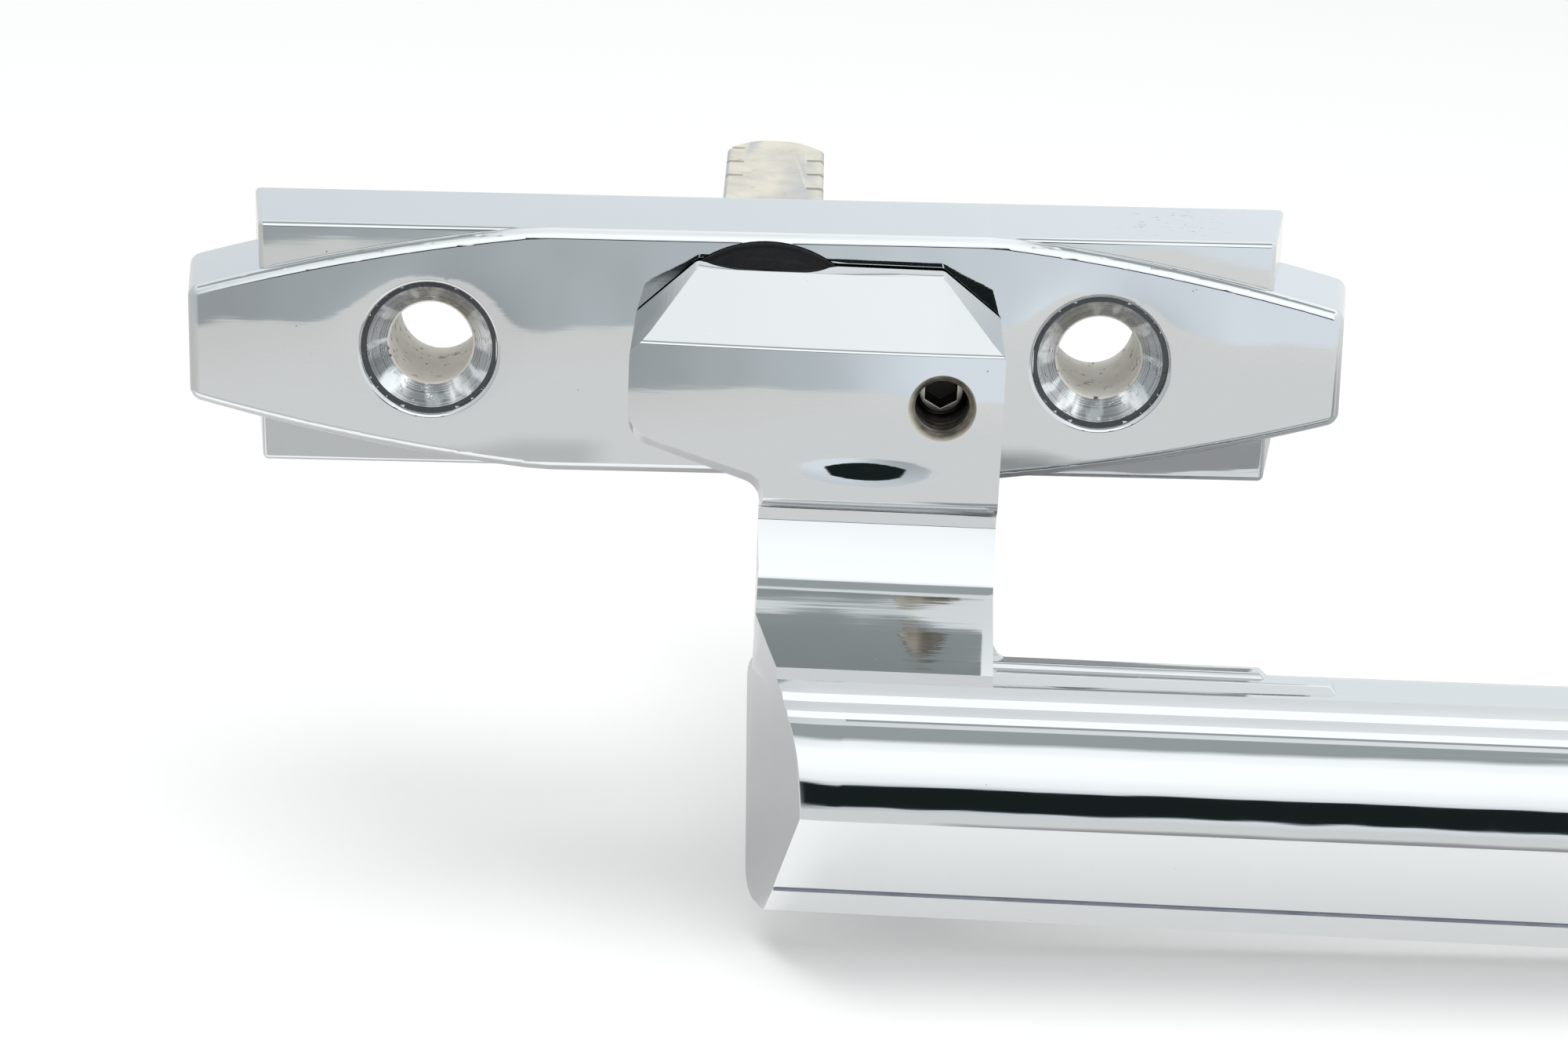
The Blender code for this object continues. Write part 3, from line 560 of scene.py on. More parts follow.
def plate_bend(x, y, z):
    """Crowned and hand-dished front of the band, and lower wings that lean downward."""
    if BAND_FRONT + 0.78 * MM < y < WING_FRONT + 0.5 * MM and z < -4 * MM:
        return (-4 * MM - z) * WING_LEAN
    amount = smooth_step(BAND_FRONT + 0.78 * MM, BAND_FRONT + 0.1 * MM, y)
    if amount == 0:
        return 0.0
    crown = BAND_CROWN_RADIUS - math.sqrt(BAND_CROWN_RADIUS ** 2 - z * z)
    dish = 0.0
    for centre in (-HOLE_X, HOLE_X):
        away = math.hypot(x - centre, z) - RIM_RADIUS
        dish += 0.10 * MM * math.exp(-max(0.0, away) / (1.4 * MM))
    return amount * (crown + dish)


def build_backplate(chrome, hole):
    wings = new_object("wings_body", loft([
        [(x * length, y, z * WING_HALF_HEIGHT) for x, z in ((-1, -1), (1, -1), (1, 1), (-1, 1))]
        for length, y in ((WING_HALF_BACK, 0.0), (WING_HALF_FRONT, WING_FRONT))]))
    round_edges(wings, 0.35 * MM)
    plate = new_object("backplate_casting", loft([
        [(x, 0.0, z) for x, z in band_outline(BAND_HALF_BACK)],
        [(x, BAND_FRONT, z) for x, z in band_outline(BAND_HALF_FRONT)]]))
    round_edges(plate, 0.68 * MM, 6)
    boolean(plate, "UNION", wings)
    tilted = Matrix.Rotation(LEVER_TILT, 3, "Y") @ Vector((LOCK_X, 0, 0))
    boolean(plate, "DIFFERENCE",
            hole_cutter("hole_left", -HOLE_X), hole_cutter("hole_right", HOLE_X),
            new_object("flange_pocket", rod(FLANGE_POCKET, FLANGE_FLOOR, -20 * MM)),
            new_object("bearing_bore", rod(BEARING_BORE, -10 * MM, -5 * MM)),
            new_object("mechanism_pocket", block(7.4 * MM, 6.3 * MM, POCKET_FLOOR, 2 * MM,
                                                 1 * MM)),
            new_object("cover_recess", block(
                COVER_HIGH.x + 0.1 * MM, COVER_HIGH.z + 0.1 * MM,
                -COVER_THICKNESS - 0.1 * MM, 2 * MM, 1 * MM)),
            new_object("lock_socket", rod(LOCK_SOCKET_RADIUS, -20 * MM, LOCK_SOCKET_FLOOR,
                                          (tilted.x, tilted.z), 48)))
    tappings = [new_object(f"tapping_{sx}_{sz}", rod(0.95 * MM, -5.5 * MM, 2 * MM,
                                                     (sx * COVER_SCREW_X, sz * COVER_SCREW_Z), 32))
                for sx in (-1, 1) for sz in (-1, 1)]
    boolean(plate, "DIFFERENCE", *tappings)

    def near_front(centre):
        return centre.y < BAND_FRONT + 0.6 * MM

    slice_up(plate, "X", PLATE_LOW.x, PLATE_HIGH.x, 0.8 * MM, near_front)
    slice_up(plate, "Z", PLATE_LOW.z, PLATE_HIGH.z, 0.6 * MM, near_front)
    bend(plate, plate_bend)

    def in_hole(centre, _normal):
        away = min(math.hypot(centre.x - x, centre.z) for x in (-HOLE_X, HOLE_X))
        return int(away < RIM_RADIUS - 0.05 * MM and BAND_FRONT < centre.y < -0.02 * MM)

    return finish(plate, [chrome, hole], "backplate_body", "backplate", pick=in_hole)


# ---- lever ----------------------------------------------------------------------------------
def boss_outline(chamfer):
    """The boss and neck seen from the front; chamfer draws in its lower left edge."""
    neck_left, neck_right, foot = 0.05 * MM, 15.0 * MM, -17.5 * MM
    return rounded([
        (-8.3 * MM, 2.75 * MM, 0.6 * MM), (-4.5 * MM, 6.3 * MM, 0.6 * MM),
        (11.2 * MM, 6.3 * MM, 0.6 * MM), (neck_right, 3.3 * MM, 0.6 * MM),
        (neck_right, foot, 0), (neck_left, foot, 0),
        (neck_left + chamfer * 0.3, -5.9 * MM + chamfer * 0.9, 1.4 * MM),
        (-8.3 * MM, -3.1 * MM + chamfer * 0.8, 1.9 * MM)])


def side_outline():
    """The boss and neck seen from the side, as (y, z), from the top round the front."""
    slope_foot = 3.45 * MM
    cove = leaning_curve(COVE_TOP, COVE_FOOT, COVE_LEAN, 56)
    front = rounded([
        (-10.2 * MM, 7.0 * MM, 0), (BOSS_FRONT, slope_foot, 0.25 * MM),
        (BOSS_FRONT, -6.9 * MM, 0.9 * MM), (-17.8 * MM, -7.2 * MM, 0.25 * MM)]
        + [(*COVE_TOP, 0)])[:-1]
    back = [(-25.3 * MM, -17.0 * MM), (-20.0 * MM, -17.0 * MM), (-16.5 * MM, -14.2 * MM),
            (-12.6 * MM, -10.0 * MM), (-12.6 * MM, -6.6 * MM), (BOSS_BACK, -6.0 * MM),
            (BOSS_BACK, 7.0 * MM)]
    return front + cove + back


def flutes(start, end, shares):
    """Shallow steps side by side between two points: a hollow tread, then a steep riser."""
    along = Vector(end) - Vector(start)
    inward = Vector((-along.y, along.x)).normalized() * MM
    points, begun = [], 0.0
    for width in shares:
        for share, drop in ((0.0, 0.10), (0.22, 0.062), (0.45, 0.009), (0.67, -0.057)):
            drop *= width * len(shares)
            points.append(tuple(Vector(start) + along * (begun + share * width) + inward * drop))
        begun += width
    return points


def grip_outline():
    """Section of the grip as (y, z), from the top back edge round the front to the back."""
    shoulder, belly_top = (-25.4 * MM, ARM_TOP), (-28.0 * MM, -18.2 * MM)
    ridge, line = (-29.9 * MM, ARM_RIDGE), GRIP_LINE
    belly = leaning_curve(belly_top, ridge, BELLY_LEAN, 44)
    facet = (Vector(line) - Vector(ridge)).normalized()
    inward = Vector((-facet.y, facet.x)) * -1
    ridge_round = [tuple(Vector(ridge) + facet * 0.12 * MM)]
    groove = [tuple(Vector(line) + facet * along * MM + inward * deep * MM)
              for along, deep in ((0.0, 0.0), (0.05, 0.05), (0.10, 0.14), (0.16, 0.13),
                                  (0.26, 0.05))]
    back = rounded([
        (*(Vector(line) + inward * 0.04 * MM + facet * 0.36 * MM), 0),
        (-23.3 * MM, -32.5 * MM, 0.7 * MM),
        (ARM_BACK, -32.7 * MM, 1.5 * MM), (ARM_BACK, ARM_TOP, 2.2 * MM), (*shoulder, 0)], 8)[:-1]
    return flutes(shoulder, belly_top, (0.42, 0.33, 0.25)) + belly + ridge_round + groove + back


def end_facet_x(y, z):
    return ARM_LEFT + END_SLOPE * (ARM_BACK - y) + END_LEAN * (ARM_TOP - z)


def end_cutter():
    front, left = -30 * MM, -12 * MM
    sections = []
    for z in (-20 * MM, -7.5 * MM):
        sections.append([(end_facet_x(ARM_BACK, z), ARM_BACK, z),
                         (end_facet_x(front, z), front, z), (left, front, z),
                         (left, ARM_BACK, z)])
    return new_object("end_cutter", loft(sections))


def grip_body():
    sections = []
    for free_end, flare in ((False, 1.0), (True, GRIP_FLARE)):
        section = []
        for y, z in grip_outline():
            inset = end_facet_x(y, z) - ARM_LEFT
            x = LEVER_REACH - inset if free_end else ARM_LEFT + inset
            section.append((x, y, ARM_RIDGE + (z - ARM_RIDGE) * flare))
        sections.append(section)
    return new_object("grip_body", loft(sections))


def pad(name, end_x, outline):
    top = max(z for _, z in outline)
    sections = [[(x - lean * (z - top), y, z) for y, z in outline]
                for x, lean in ((10 * MM, 0), (end_x, 1.0))]
    return round_edges(new_object(name, loft(sections)), 0.1 * MM, 3)


def lock_bore():
    """Tapped bore from the boss's face to its back, with a broken mouth."""
    pitch, depth, bore, mouth = 0.7 * MM, 0.28 * MM, 1.7 * MM, 0.12 * MM
    profile = [(0, BOSS_FRONT - 1 * MM), (bore + 0.42 * MM, BOSS_FRONT - 1 * MM),
               (bore + 0.42 * MM, BOSS_FRONT + 0.02 * MM), (bore + 0.30 * MM, BOSS_FRONT + mouth)]
    for i in range(int((BOSS_BACK - BOSS_FRONT) / pitch)):
        y = BOSS_FRONT + (i + 0.55) * pitch
        profile += [(bore, y - 0.05 * MM), (bore, y + 0.05 * MM),
                    (bore + depth, y + pitch / 2 - 0.03 * MM),
                    (bore + depth, y + pitch / 2 + 0.03 * MM)]
    profile += [(bore, BOSS_BACK), (bore, BOSS_BACK + 1 * MM), (0, BOSS_BACK + 1 * MM)]
    return new_object("lock_bore", turned(profile, (LOCK_X, 0), 64))


def lever_bend(x, y, z):
    """Crowned boss face, the hollow polishing left at its foot, and the grip's worn end."""
    if y < -24.9 * MM and z < -15.2 * MM:
        inside = max(0.0, 2.2 * MM - (x - end_facet_x(y, z)))
        return smooth_step(-24.9 * MM, -26 * MM, y) * 0.022 / MM * inside ** 2
    if y > BOSS_FRONT + 1.2 * MM or z < COVE_TOP[1]:
        return 0.0
    rise = 0.5 * (z + 1.2 * MM) ** 2 / (70 * MM) + 0.5 * (x - 4 * MM) ** 2 / (260 * MM)
    hollow = 0.42 * MM * math.exp(-((x - 6.6 * MM) / (3.9 * MM)) ** 2
                                  - ((z + 3.4 * MM) / (1.25 * MM)) ** 2)
    share = smooth_step(BOSS_FRONT + 1.2 * MM, BOSS_FRONT + 0.2 * MM, y)
    return share * smooth_step(COVE_TOP[1], -7.3 * MM, z) * (rise + hollow)


def cross_hole(start, end):
    """Hole for the cross pin, along X."""
    hole = new_object("pin_hole", rod(PIN_BORE_RADIUS, start, end, steps=32))
    hole.data.transform(Matrix.Translation((0, PIN_Y, 0))
                        @ Matrix.Rotation(-math.pi / 2, 4, "Z"))
    return hole


def build_lever(chrome, raw, groove):
    inner, outer = -17.9 * MM, -19.4 * MM
    full, drawn = boss_outline(0), boss_outline(1.1 * MM)
    lever = new_object("lever_casting", loft([
        [(x, -5 * MM, z) for x, z in full], [(x, inner, z) for x, z in full],
        [(x, outer, z) for x, z in drawn], [(x, -35 * MM, z) for x, z in drawn]]))
    boolean(lever, "INTERSECT",
            new_object("boss_side", prism("YZ", side_outline(), -15 * MM, 20 * MM)))
    boolean(lever, "DIFFERENCE", end_cutter())
    round_edges(lever, 0.32 * MM, 5, 28)
    grip = round_edges(grip_body(), 0.14 * MM, 5, 58)
    lower_pad = pad("lower_pad", 36.0 * MM, [
        (-22.6 * MM, -17 * MM), (-22.6 * MM, -15.4 * MM), (-24.0 * MM, -15.4 * MM),
        (-24.95 * MM, -15.98 * MM), (-24.95 * MM, -17 * MM)])
    upper_pad = pad("upper_pad", 31.7 * MM, [
        (-21.9 * MM, -17 * MM), (-21.9 * MM, -15.1 * MM), (-23.0 * MM, -15.1 * MM),
        (-23.3 * MM, -15.5 * MM), (-23.3 * MM, -17 * MM)])
    radius, corner_x, corner_z = 1.2 * MM, 15.0 * MM, -15.2 * MM
    hollow = arc((corner_x + radius, corner_z + radius), radius, 180, 270, 10)
    fillet = new_object("neck_fillet", prism("XZ", hollow + [
        (corner_x + radius, -16.5 * MM), (corner_x - 1 * MM, -16.5 * MM),
        (corner_x - 1 * MM, corner_z + radius)], -21.9 * MM, -22.35 * MM))
    boolean(lever, "UNION", grip, lower_pad, upper_pad, fillet)
    mouth = 1 * MM
    slope = 1.4 * MM / (BOSS_BACK - RECESS_FLOOR)
    boolean(lever, "DIFFERENCE", new_object("recess", turned([
        (0, RECESS_FLOOR), (6.3 * MM, RECESS_FLOOR),
        (7.7 * MM + slope * mouth, BOSS_BACK + mouth), (0, BOSS_BACK + mouth)])))
    boolean(lever, "UNION", new_object("journal", rod(
        5.8 * MM, RECESS_FLOOR - 0.5 * MM, POCKET_FLOOR - 0.2 * MM)))
    half = SQUARE / 2 + 0.05 * MM
    socket = new_object("socket", prism("XZ", [(-half, -half), (half, -half), (half, half),
                                               (-half, half)], -16.5 * MM, 0.0))
    pin_hole = cross_hole(-10 * MM, 5.3 * MM)
    boolean(lever, "DIFFERENCE", socket, lock_bore(), pin_hole)

    def on_front(centre):
        return centre.y < -17 * MM and centre.x < 15.5 * MM and centre.z > -15.5 * MM

    slice_up(lever, "X", -8.4 * MM, 15.1 * MM, 0.6 * MM, on_front)
    slice_up(lever, "Z", -15.2 * MM, 3.4 * MM, 0.5 * MM, on_front)
    slice_up(lever, "X", 0.0, 6 * MM, 0.3 * MM,
             lambda centre: centre.y < -24.8 * MM and centre.z < -15 * MM)
    bend(lever, lever_bend)

    def surface(centre, normal):
        away = math.hypot(centre.x - LOCK_X, centre.z)
        if away < 2.2 * MM and normal.y > -0.9 and centre.y < BOSS_BACK:
            return 1
        flare = 1 + (GRIP_FLARE - 1) * centre.x / LEVER_REACH
        level = ARM_RIDGE + (centre.z - ARM_RIDGE) / flare
        # Faces of the groove along the grip get the dark painted-shade material.
        in_groove = math.hypot(centre.y - GRIP_LINE[0] - 0.05 * MM,
                               level - GRIP_LINE[1] + 0.14 * MM) < 0.19 * MM
        return 2 if in_groove and 2 * MM < centre.x else 0

    return finish(lever, [chrome, raw, groove], "lever_body", "lever", sharp=27,
                  tilt=True, pick=surface)


# ---- spindle, cover and small parts ---------------------------------------------------------
def build_spindle(zinc):
    half, corner = SQUARE / 2, 0.3 * MM
    outline = rounded([(-half, -half, corner), (half, -half, corner),
                       (half, half, corner), (-half, half, corner)], 6)
    base, tip = SPINDLE_LOW.y, SPINDLE_HIGH.y
    spindle = new_object("drive_spindle", prism("XZ", outline, base, tip))
    wide = 4.95 * MM
    nose = arc((2.5 * MM, tip - 1.6 * MM), 1.6 * MM, 90, 20, 8)
    boolean(spindle, "INTERSECT", new_object("nose", turned(
        [(0, -30 * MM), (wide, -30 * MM), (wide, tip - 3.2 * MM)]
        + [(r, y) for r, y in nose[::-1]] + [(0, tip)])))
    groove = [(4.35 * MM, -1.6 * MM), (6 * MM, -1.6 * MM), (6 * MM, -0.85 * MM),
              (4.35 * MM, -0.85 * MM)]
    cutters = [new_object("clip_groove", turned(groove, closed=True))]
    pitch = 4.0 * MM
    for corner_number in range(4):
        turn = math.radians(45 + 90 * corner_number)
        for i in range(3):
            y = tip - 3.9 * MM - pitch * (i - corner_number / 4 + 0.5)
            cutter = new_object(f"notch_{corner_number}_{i}", prism("YZ", [
                (y - 0.45 * MM, 6 * MM), (y - 0.25 * MM, 4.05 * MM),
                (y + 0.25 * MM, 4.05 * MM), (y + 0.45 * MM, 6 * MM)], -2 * MM, 2 * MM))
            cutter.data.transform(Matrix.Rotation(turn, 4, "Y"))
            cutters.append(cutter)
    boolean(spindle, "DIFFERENCE", *cutters, cross_hole(-8 * MM, 8 * MM))
    round_edges(spindle, 0.06 * MM, 2, 40)
    return finish(spindle, [zinc], "lever_body", "spindle", tilt=True)


def build_bearing(nylon):
    bore, barrel, flange = 5.85 * MM, 6.6 * MM, 7.55 * MM
    low, high = POCKET_FLOOR - 0.1 * MM, FLANGE_FLOOR - 0.05 * MM
    nose_front = RECESS_FLOOR + 0.3 * MM
    edge = arc((flange - 0.25 * MM, BAND_FRONT - 0.02 * MM), 0.25 * MM, 0, -80, 6)
    bearing = new_object("bearing_bush", turned(
        [(bore, low), (barrel, low), (barrel, high), (flange, high)] + edge
        + [(6.3 * MM, nose_front), (bore, nose_front)], closed=True))
    return finish(bearing, [nylon], "backplate_body", "front_bearing")


def build_cover(plated):
    """Stamped cover with rolled edges, a drawn rim at its opening and countersunk holes."""
    opening, rim = 5.3 * MM, 0.2 * MM
    cover = new_object("mechanism_cover", block(COVER_HIGH.x, COVER_HIGH.z, COVER_LOW.y,
                                                COVER_HIGH.y, 0.9 * MM))
    cutters = [new_object("opening", turned(
        [(0, -2 * MM), (opening, -2 * MM), (opening, -rim)]
        + [(opening + rim - r, y) for r, y in arc((0, -rim), rim, 0, 90, 4)]
        + [(opening + rim, MM), (0, MM)]))]
    for sx in (-1, 1):
        for sz in (-1, 1):
            cutters.append(new_object(f"sink_{sx}_{sz}", turned([
                (0, -2 * MM), (1.0 * MM, -2 * MM), (1.0 * MM, -0.8 * MM),
                (1.75 * MM, 0.1 * MM), (1.75 * MM, MM), (0, MM)],
                (sx * COVER_SCREW_X, sz * COVER_SCREW_Z), 48)))
    boolean(cover, "DIFFERENCE", *cutters)
    round_edges(cover, 0.08 * MM, 3, 40)
    return finish(cover, [plated], "backplate_body", "rear_cover")


def build_cover_screw(name, x, z, plated):
    """Countersunk screw with a tapering cross recess."""
    head, shank, tip = 1.55 * MM, 0.9 * MM, -5.0 * MM
    screw = new_object(f"{name}_visible", turned([
        (0, tip), (shank - 0.3 * MM, tip), (shank, tip + 0.3 * MM), (shank, -0.75 * MM),
        (head, -0.12 * MM), (head - 0.05 * MM, -0.05 * MM), (0, -0.03 * MM)],
        (x, z), 48))
    arm, half = 1.0 * MM, 0.16 * MM
    cross = [(arm, -half), (arm, half), (half * 1.5, half * 1.5), (half, arm), (-half, arm),
             (-half * 1.5, half * 1.5), (-arm, half), (-arm, -half), (-half * 1.5, -half * 1.5),
             (-half, -arm), (half, -arm), (half * 1.5, -half * 1.5)]
    recess = new_object("recess", loft([
        [(x + u * 0.25, -0.85 * MM, z + v * 0.25) for u, v in cross],
        [(x + u, 0.05 * MM, z + v) for u, v in cross]]))
    turn = math.radians(17 + 31 * (x > 0) + 53 * (z > 0))
    centre = Matrix.Translation((x, 0, z))
    recess.data.transform(centre @ Matrix.Rotation(turn, 4, "Y") @ centre.inverted())
    boolean(screw, "DIFFERENCE", recess)
    return finish(screw, [plated], "backplate_body", name)


def build_lock_screw(bright, dark):
    radius, front, tip = 1.66 * MM, SCREW_LOW.y, SCREW_HIGH.y
    chamfer, point, key = 0.28 * MM, 0.6 * MM, 1.0 * MM / math.cos(math.pi / 6)
    profile = [(0, front), (radius - chamfer, front), (radius - chamfer * 0.2, front + chamfer)]
    pitch = 0.7 * MM
    for i in range(int((tip - front - point - chamfer) / pitch)):
        y = front + chamfer + (i + 0.5) * pitch
        profile += [(radius - 0.22 * MM, y - 0.05 * MM), (radius - 0.02 * MM, y + pitch / 2)]
    profile += [(radius - point, tip), (0, tip)]
    screw = new_object("lock_grub", turned(profile, (LOCK_X, 0), 64))
    hexagon = arc((LOCK_X, 0), key, 30, 330, 5)
    boolean(screw, "DIFFERENCE", new_object("key", prism("XZ", hexagon, front - MM,
                                                         front + 2 * MM)))
    round_edges(screw, 0.035 * MM, 2, 40)

    def in_key(centre, _normal):
        return int(math.hypot(centre.x - LOCK_X, centre.z) < key and centre.y > front + 0.03 * MM
                   and centre.y < front + 2.5 * MM)

    return finish(screw, [bright, dark], "lock_screw_body", "lock_screw",
                  tilt=True, pick=in_key)


# ---- studio ---------------------------------------------------------------------------------
def world_shader():
    """White studio for the camera; for reflections a bright ceiling, grey walls and a dark gap."""
    world = bpy.data.worlds.new("studio")
    bpy.context.scene.world = world
    world.use_nodes = True
    n = Nodes(world.node_tree)
    direction = n.add("ShaderNodeTexCoord").outputs["Generated"]
    axes = n.add("ShaderNodeSeparateXYZ", {0: direction})
    x, y, z = axes.outputs
    level = n.scaled(z, 0.5, 0.5)

    def at(degrees):
        return 0.5 + 0.5 * math.sin(math.radians(degrees))

    front = n.ramp(level, [
        (at(-60), (1.00, 1.00, 0.98)), (at(-19), (0.95, 0.95, 0.93)),
        (at(-10), (0.92, 0.94, 0.92)), (at(4), (0.95, 0.99, 1.02)),
        (at(12), (0.96, 1.02, 1.07)), (at(35), (1.04, 1.09, 1.12)),
        (at(50), (1.32, 1.36, 1.38)), (at(68), (1.26, 1.30, 1.32)), (at(82), (0.98, 1.01, 1.02))])
    across = n.scaled(x, 0.5, 0.5)

    def along(sideways):
        return 0.5 + 0.5 * sideways

    low_side = n.ramp(across, [(0.0, 0.78), (along(-0.12), 0.92), (along(0.1), 1.05), (1.0, 1.1)])
    tinted = n.add("ShaderNodeVectorMath", {0: front, 1: low_side}, operation="MULTIPLY").outputs[0]
    walls = n.ramp(across, [
        (0.0, (0.70, 0.74, 0.77)), (along(-0.5), (0.66, 0.70, 0.73)),
        (along(-0.14), (0.44, 0.47, 0.49)), (along(-0.05), (0.60, 0.65, 0.68)),
        (along(0.0), (0.71, 0.78, 0.82)), (along(0.1), (1.02, 1.09, 1.16)),
        (1.0, (1.04, 1.10, 1.15))])
    facing = n.math("LESS_THAN", y, 0.0)
    rig = n.math("MULTIPLY", n.ramp(level, [(at(53), 0.0), (at(58), 1.0)]),
                 n.ramp(n.math("MULTIPLY", y, -4.0), [(0.0, 0.0), (0.25, 1.0)]))
    wall_height = n.ramp(level, [
        (at(-14.45), 0.0), (at(-14.35), 1.0), (at(3), 1.0), (at(8), 0.0)])
    colour = n.mix(n.math("MULTIPLY", wall_height, facing), tinted, walls)
    colour = n.mix(rig, colour, (0.46, 0.50, 0.51))
    lamp_height = n.ramp(level, [(at(4), 0.0), (at(8), 1.0), (at(42), 1.0), (at(52), 0.0)])
    lamp_width = n.ramp(n.math("ABSOLUTE", n.math("SUBTRACT", x, 0.08)),
                        [(0.26, 1.0), (0.45, 0.0)])
    lamp = n.math("MULTIPLY", n.math("MULTIPLY", lamp_height, lamp_width), facing)
    colour = n.mix(lamp, colour, n.ramp(level, [
        (at(5), (1.22, 1.26, 1.29)), (at(18), (1.50, 1.54, 1.56)), (at(45), (1.56, 1.60, 1.62))]))
    gap_height = n.ramp(level, [(at(-5.2), 0.0), (at(-4.8), 1.0), (at(4.0), 1.0), (at(4.6), 0.0)])
    gap_width = n.ramp(n.math("ABSOLUTE", n.math("SUBTRACT", x, 0.05)),
                       [(0.19, 1.0), (0.24, 0.0)])
    gap = n.math("MULTIPLY", n.math("MULTIPLY", gap_height, gap_width), facing)
    colour = n.mix(gap, colour, (0.014, 0.020, 0.020))
    path = n.add("ShaderNodeLightPath")
    seen = n.add("ShaderNodeBackground", {0: (1.0, 1.0, 1.0, 1.0), 1: 1.0})
    glossy = n.add("ShaderNodeBackground", {0: colour, 1: 1.0})
    ambient = n.add("ShaderNodeBackground", {0: (0.97, 0.985, 1.0, 1.0), 1: 0.48})
    mixed = n.add("ShaderNodeMixShader", {0: path.outputs["Is Glossy Ray"],
                                          1: ambient.outputs[0], 2: glossy.outputs[0]})
    mixed = n.add("ShaderNodeMixShader", {0: path.outputs["Is Camera Ray"],
                                          1: mixed.outputs[0], 2: seen.outputs[0]})
    n.add("ShaderNodeOutputWorld", {0: mixed.outputs[0]})


def build_floor(height):
    builder = bmesh.new()
    size = 3.0
    bmesh.ops.create_grid(builder, x_segments=2, y_segments=2, size=size)
    floor = new_object("floor", builder)
    floor.location = (0.02, BACK.y, height)
    material, n = new_material("pale_sheet")
    place = n.add("ShaderNodeNewGeometry").outputs["Position"]
    centred = n.add("ShaderNodeVectorMath", {0: place, 1: (0.03, BACK.y - 0.01, height)},
                    operation="SUBTRACT").outputs[0]
    away = n.add("ShaderNodeVectorMath", {0: centred}, operation="LENGTH").outputs["Value"]
    beyond = n.ramp(away, [(0.11, 0.0), (0.15, 1.0)])
    glossy = n.add("ShaderNodeLightPath").outputs["Is Glossy Ray"]
    sheet = n.add("ShaderNodeBsdfDiffuse", {0: (0.93, 0.93, 0.925, 1.0)})
    clear = n.add("ShaderNodeBsdfTransparent")
    axes = n.add("ShaderNodeSeparateXYZ", {0: place})
    # Painted light and painted shade for reflections only: the floor's emission brightens a band
    # near the handle and darkens the zones under it and further in front, going below zero.
    front = n.scaled(axes.outputs[1], 10.0, 1.3)
    left = n.ramp(n.math("MULTIPLY", axes.outputs[0], -100.0), [(0.0, 0.0), (0.3, 1.0)])
    painted_light_near = n.ramp(front, [(0.48, 0.0), (0.56, 1.0), (0.74, 1.0), (0.80, 0.0)])
    painted_shade_under = n.ramp(front, [(0.74, 0.0), (0.82, 1.0)])
    painted_shade_under = n.math("MULTIPLY", painted_shade_under, n.math("SUBTRACT", 0.30, n.math("MULTIPLY", left, 0.30)))
    shaded = n.ramp(front, [(0.18, 0.0), (0.26, 1.0), (0.50, 1.0), (0.55, 0.0)])
    outer = n.ramp(n.math("MULTIPLY", n.math("ABSOLUTE", axes.outputs[0]), 10.0),
                   [(0.12, 0.0), (0.15, 1.0)])
    shaded = n.math("MULTIPLY", n.math("MULTIPLY", shaded, outer),
                    n.math("SUBTRACT", 0.52, n.math("MULTIPLY", left, 0.30)))
    strength = n.math("SUBTRACT", n.math("MULTIPLY", painted_light_near, 0.52), painted_shade_under)
    strength = n.math("SUBTRACT", strength, shaded)
    strength = n.math("SUBTRACT", strength, 0.02)
    # For the camera only, an even emission of 0.12 keeps the floor white.
    seen = n.math("SUBTRACT", 1.0, glossy)
    strength = n.math("ADD", n.math("MULTIPLY", strength, glossy),
                      n.math("MULTIPLY", seen, 0.12))
    painted_glow = n.add("ShaderNodeEmission", {0: (1.0, 1.0, 0.99, 1.0), 1: strength})
    lit = n.add("ShaderNodeAddShader", {0: sheet.outputs[0], 1: painted_glow.outputs[0]})
    mixed = n.add("ShaderNodeMixShader", {0: n.math("MULTIPLY", beyond, glossy),
                                          1: lit.outputs[0], 2: clear.outputs[0]})
    n.add("ShaderNodeOutputMaterial", {0: mixed.outputs[0]})
    floor.data.materials.append(material)


def build_light(name, place, target, size, energy):
    """Soft rectangular light that adds no reflection of its own."""
    data = bpy.data.lights.new(name, "AREA")
    data.shape = "RECTANGLE"
    data.size, data.size_y = size
    data.energy = energy
    lamp = bpy.data.objects.new(name, data)
    lamp.location = Vector(place) + BACK
    lamp.rotation_euler = (Vector(target) - Vector(place)).to_track_quat("-Z", "Y").to_euler()
    lamp.visible_glossy = False
    bpy.context.scene.collection.objects.link(lamp)


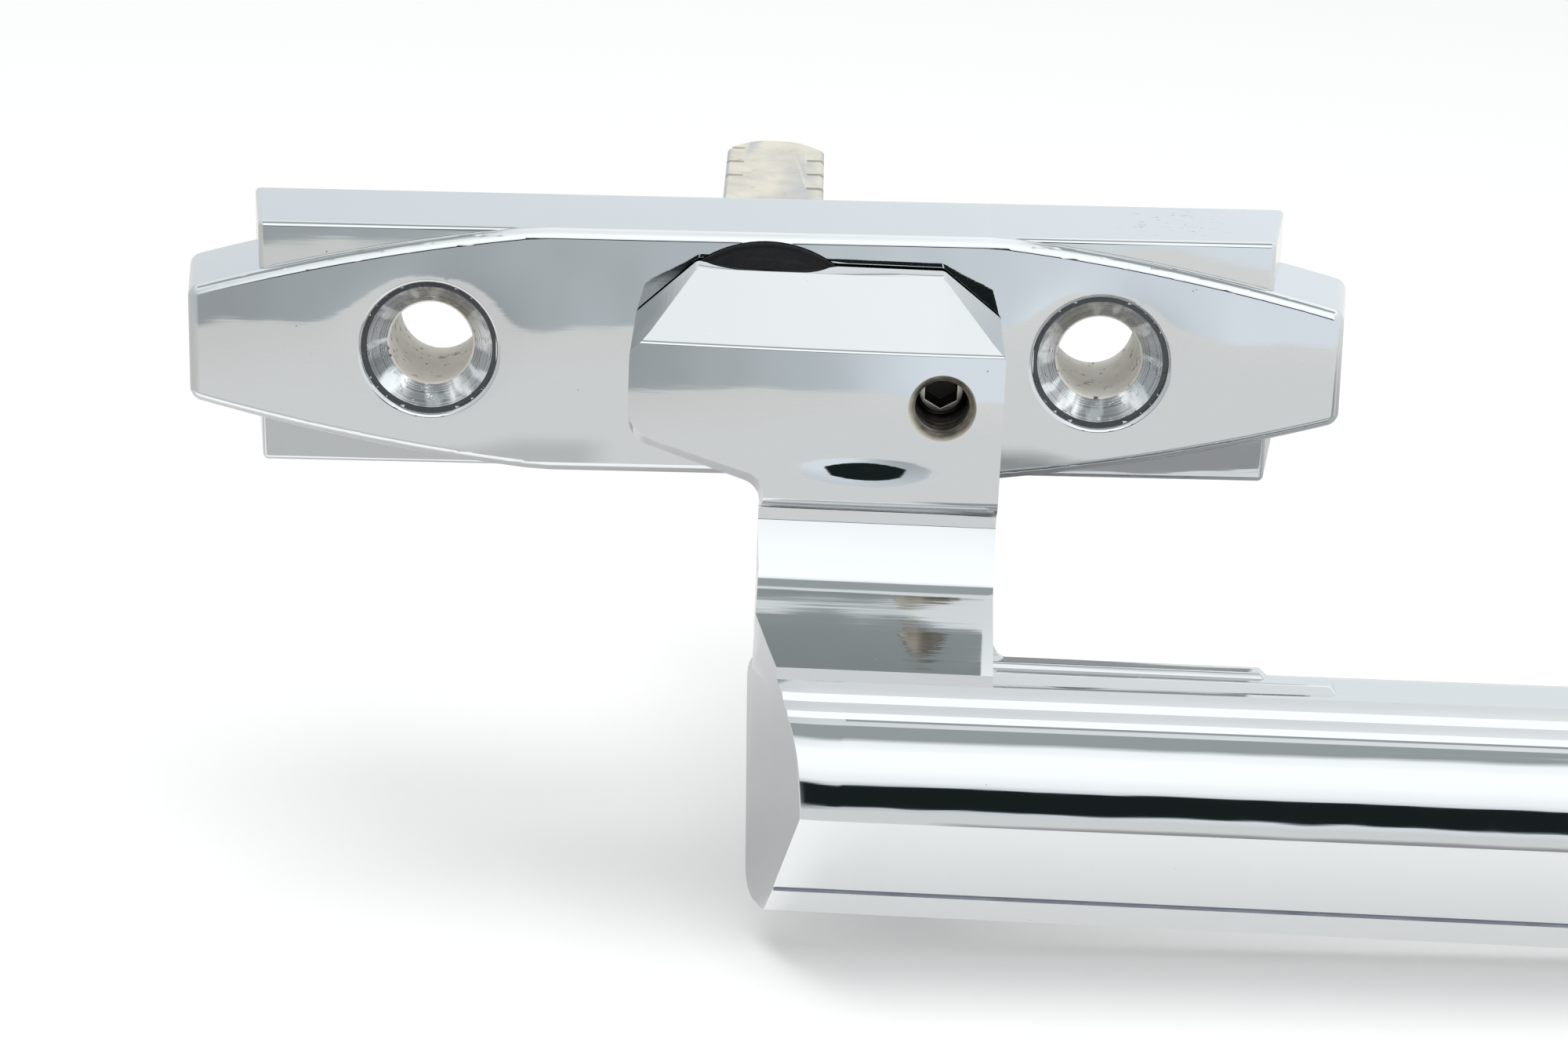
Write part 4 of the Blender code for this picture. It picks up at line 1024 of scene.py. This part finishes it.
def build_camera():
    """A long lens, a little above the handle and looking down at it by about 19 degrees."""
    data = bpy.data.cameras.new("camera")
    data.sensor_width = 36
    data.lens = 100
    data.clip_start = 0.01
    camera = bpy.data.objects.new("camera", data)
    forward = Vector((-0.0062, 0.9467, -0.3222)).normalized()
    right = Vector((0.9997, 0.0131, 0.0195))
    right = (right - forward * right.dot(forward)).normalized()
    up = right.cross(forward)
    place = Vector((3.22, -276.89, 79.8)) * MM + BACK
    camera.matrix_world = Matrix((
        (right.x, up.x, -forward.x, place.x), (right.y, up.y, -forward.y, place.y),
        (right.z, up.z, -forward.z, place.z), (0, 0, 0, 1)))
    bpy.context.scene.collection.objects.link(camera)
    bpy.context.scene.camera = camera


def main():
    chrome = chrome_material()
    hole = hole_material()
    zinc = zinc_material()
    nylon = nylon_material()
    spring = steel_material("spring_steel_strip", (0.42, 0.42, 0.43), (0.30, 0.30, 0.32), 0.3)
    plated = steel_material("zinc_plated_steel", (0.62, 0.61, 0.56), (0.52, 0.53, 0.52), 0.34)
    worn = steel_material("worn_black_steel", (0.62, 0.58, 0.50), (0.50, 0.47, 0.41), 0.24)
    dark = steel_material("blackened_steel", (0.060, 0.055, 0.05), (0.04, 0.04, 0.035), 0.4)
    # Painted shade: the groove along the grip gets a dark steel colour.
    groove = steel_material("painted_shade_in_groove", (0.20, 0.22, 0.25), (0.14, 0.15, 0.18), 0.30)

    build_backplate(chrome, hole)
    build_lever(chrome, thread_material(), groove)
    build_spindle(zinc)
    build_bearing(nylon)
    build_cover(plated)
    for side, sx in (("left", -1), ("right", 1)):
        for level, sz in (("lower", -1), ("upper", 1)):
            build_cover_screw(f"cover_screw_{side}_{level}",
                              sx * COVER_SCREW_X, sz * COVER_SCREW_Z, plated)
    build_lock_screw(worn, dark)
    finishes = {"flat_washer": plated}
    for node in ("spindle_pin", "thrust_washer", "index_cam", "detent_spring_left",
                 "detent_spring_right", "stop_plate", "wave_washer", "flat_washer",
                 "retaining_clip"):
        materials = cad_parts[node].data.materials
        materials.clear()
        materials.append(finishes.get(node, spring))

    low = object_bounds()[0]
    build_floor(low[2] - FLOOR_GAP)
    world_shader()
    build_light("overhead", (-0.10, -0.05, 0.75), (0.02, 0, 0), (0.7, 0.5), 3.6)
    build_light("right_fill", (0.55, -0.35, 0.45), (0.02, 0, 0), (0.4, 0.4), 0.9)
    build_camera()
    bpy.context.scene.view_settings.view_transform = "Standard"


main()
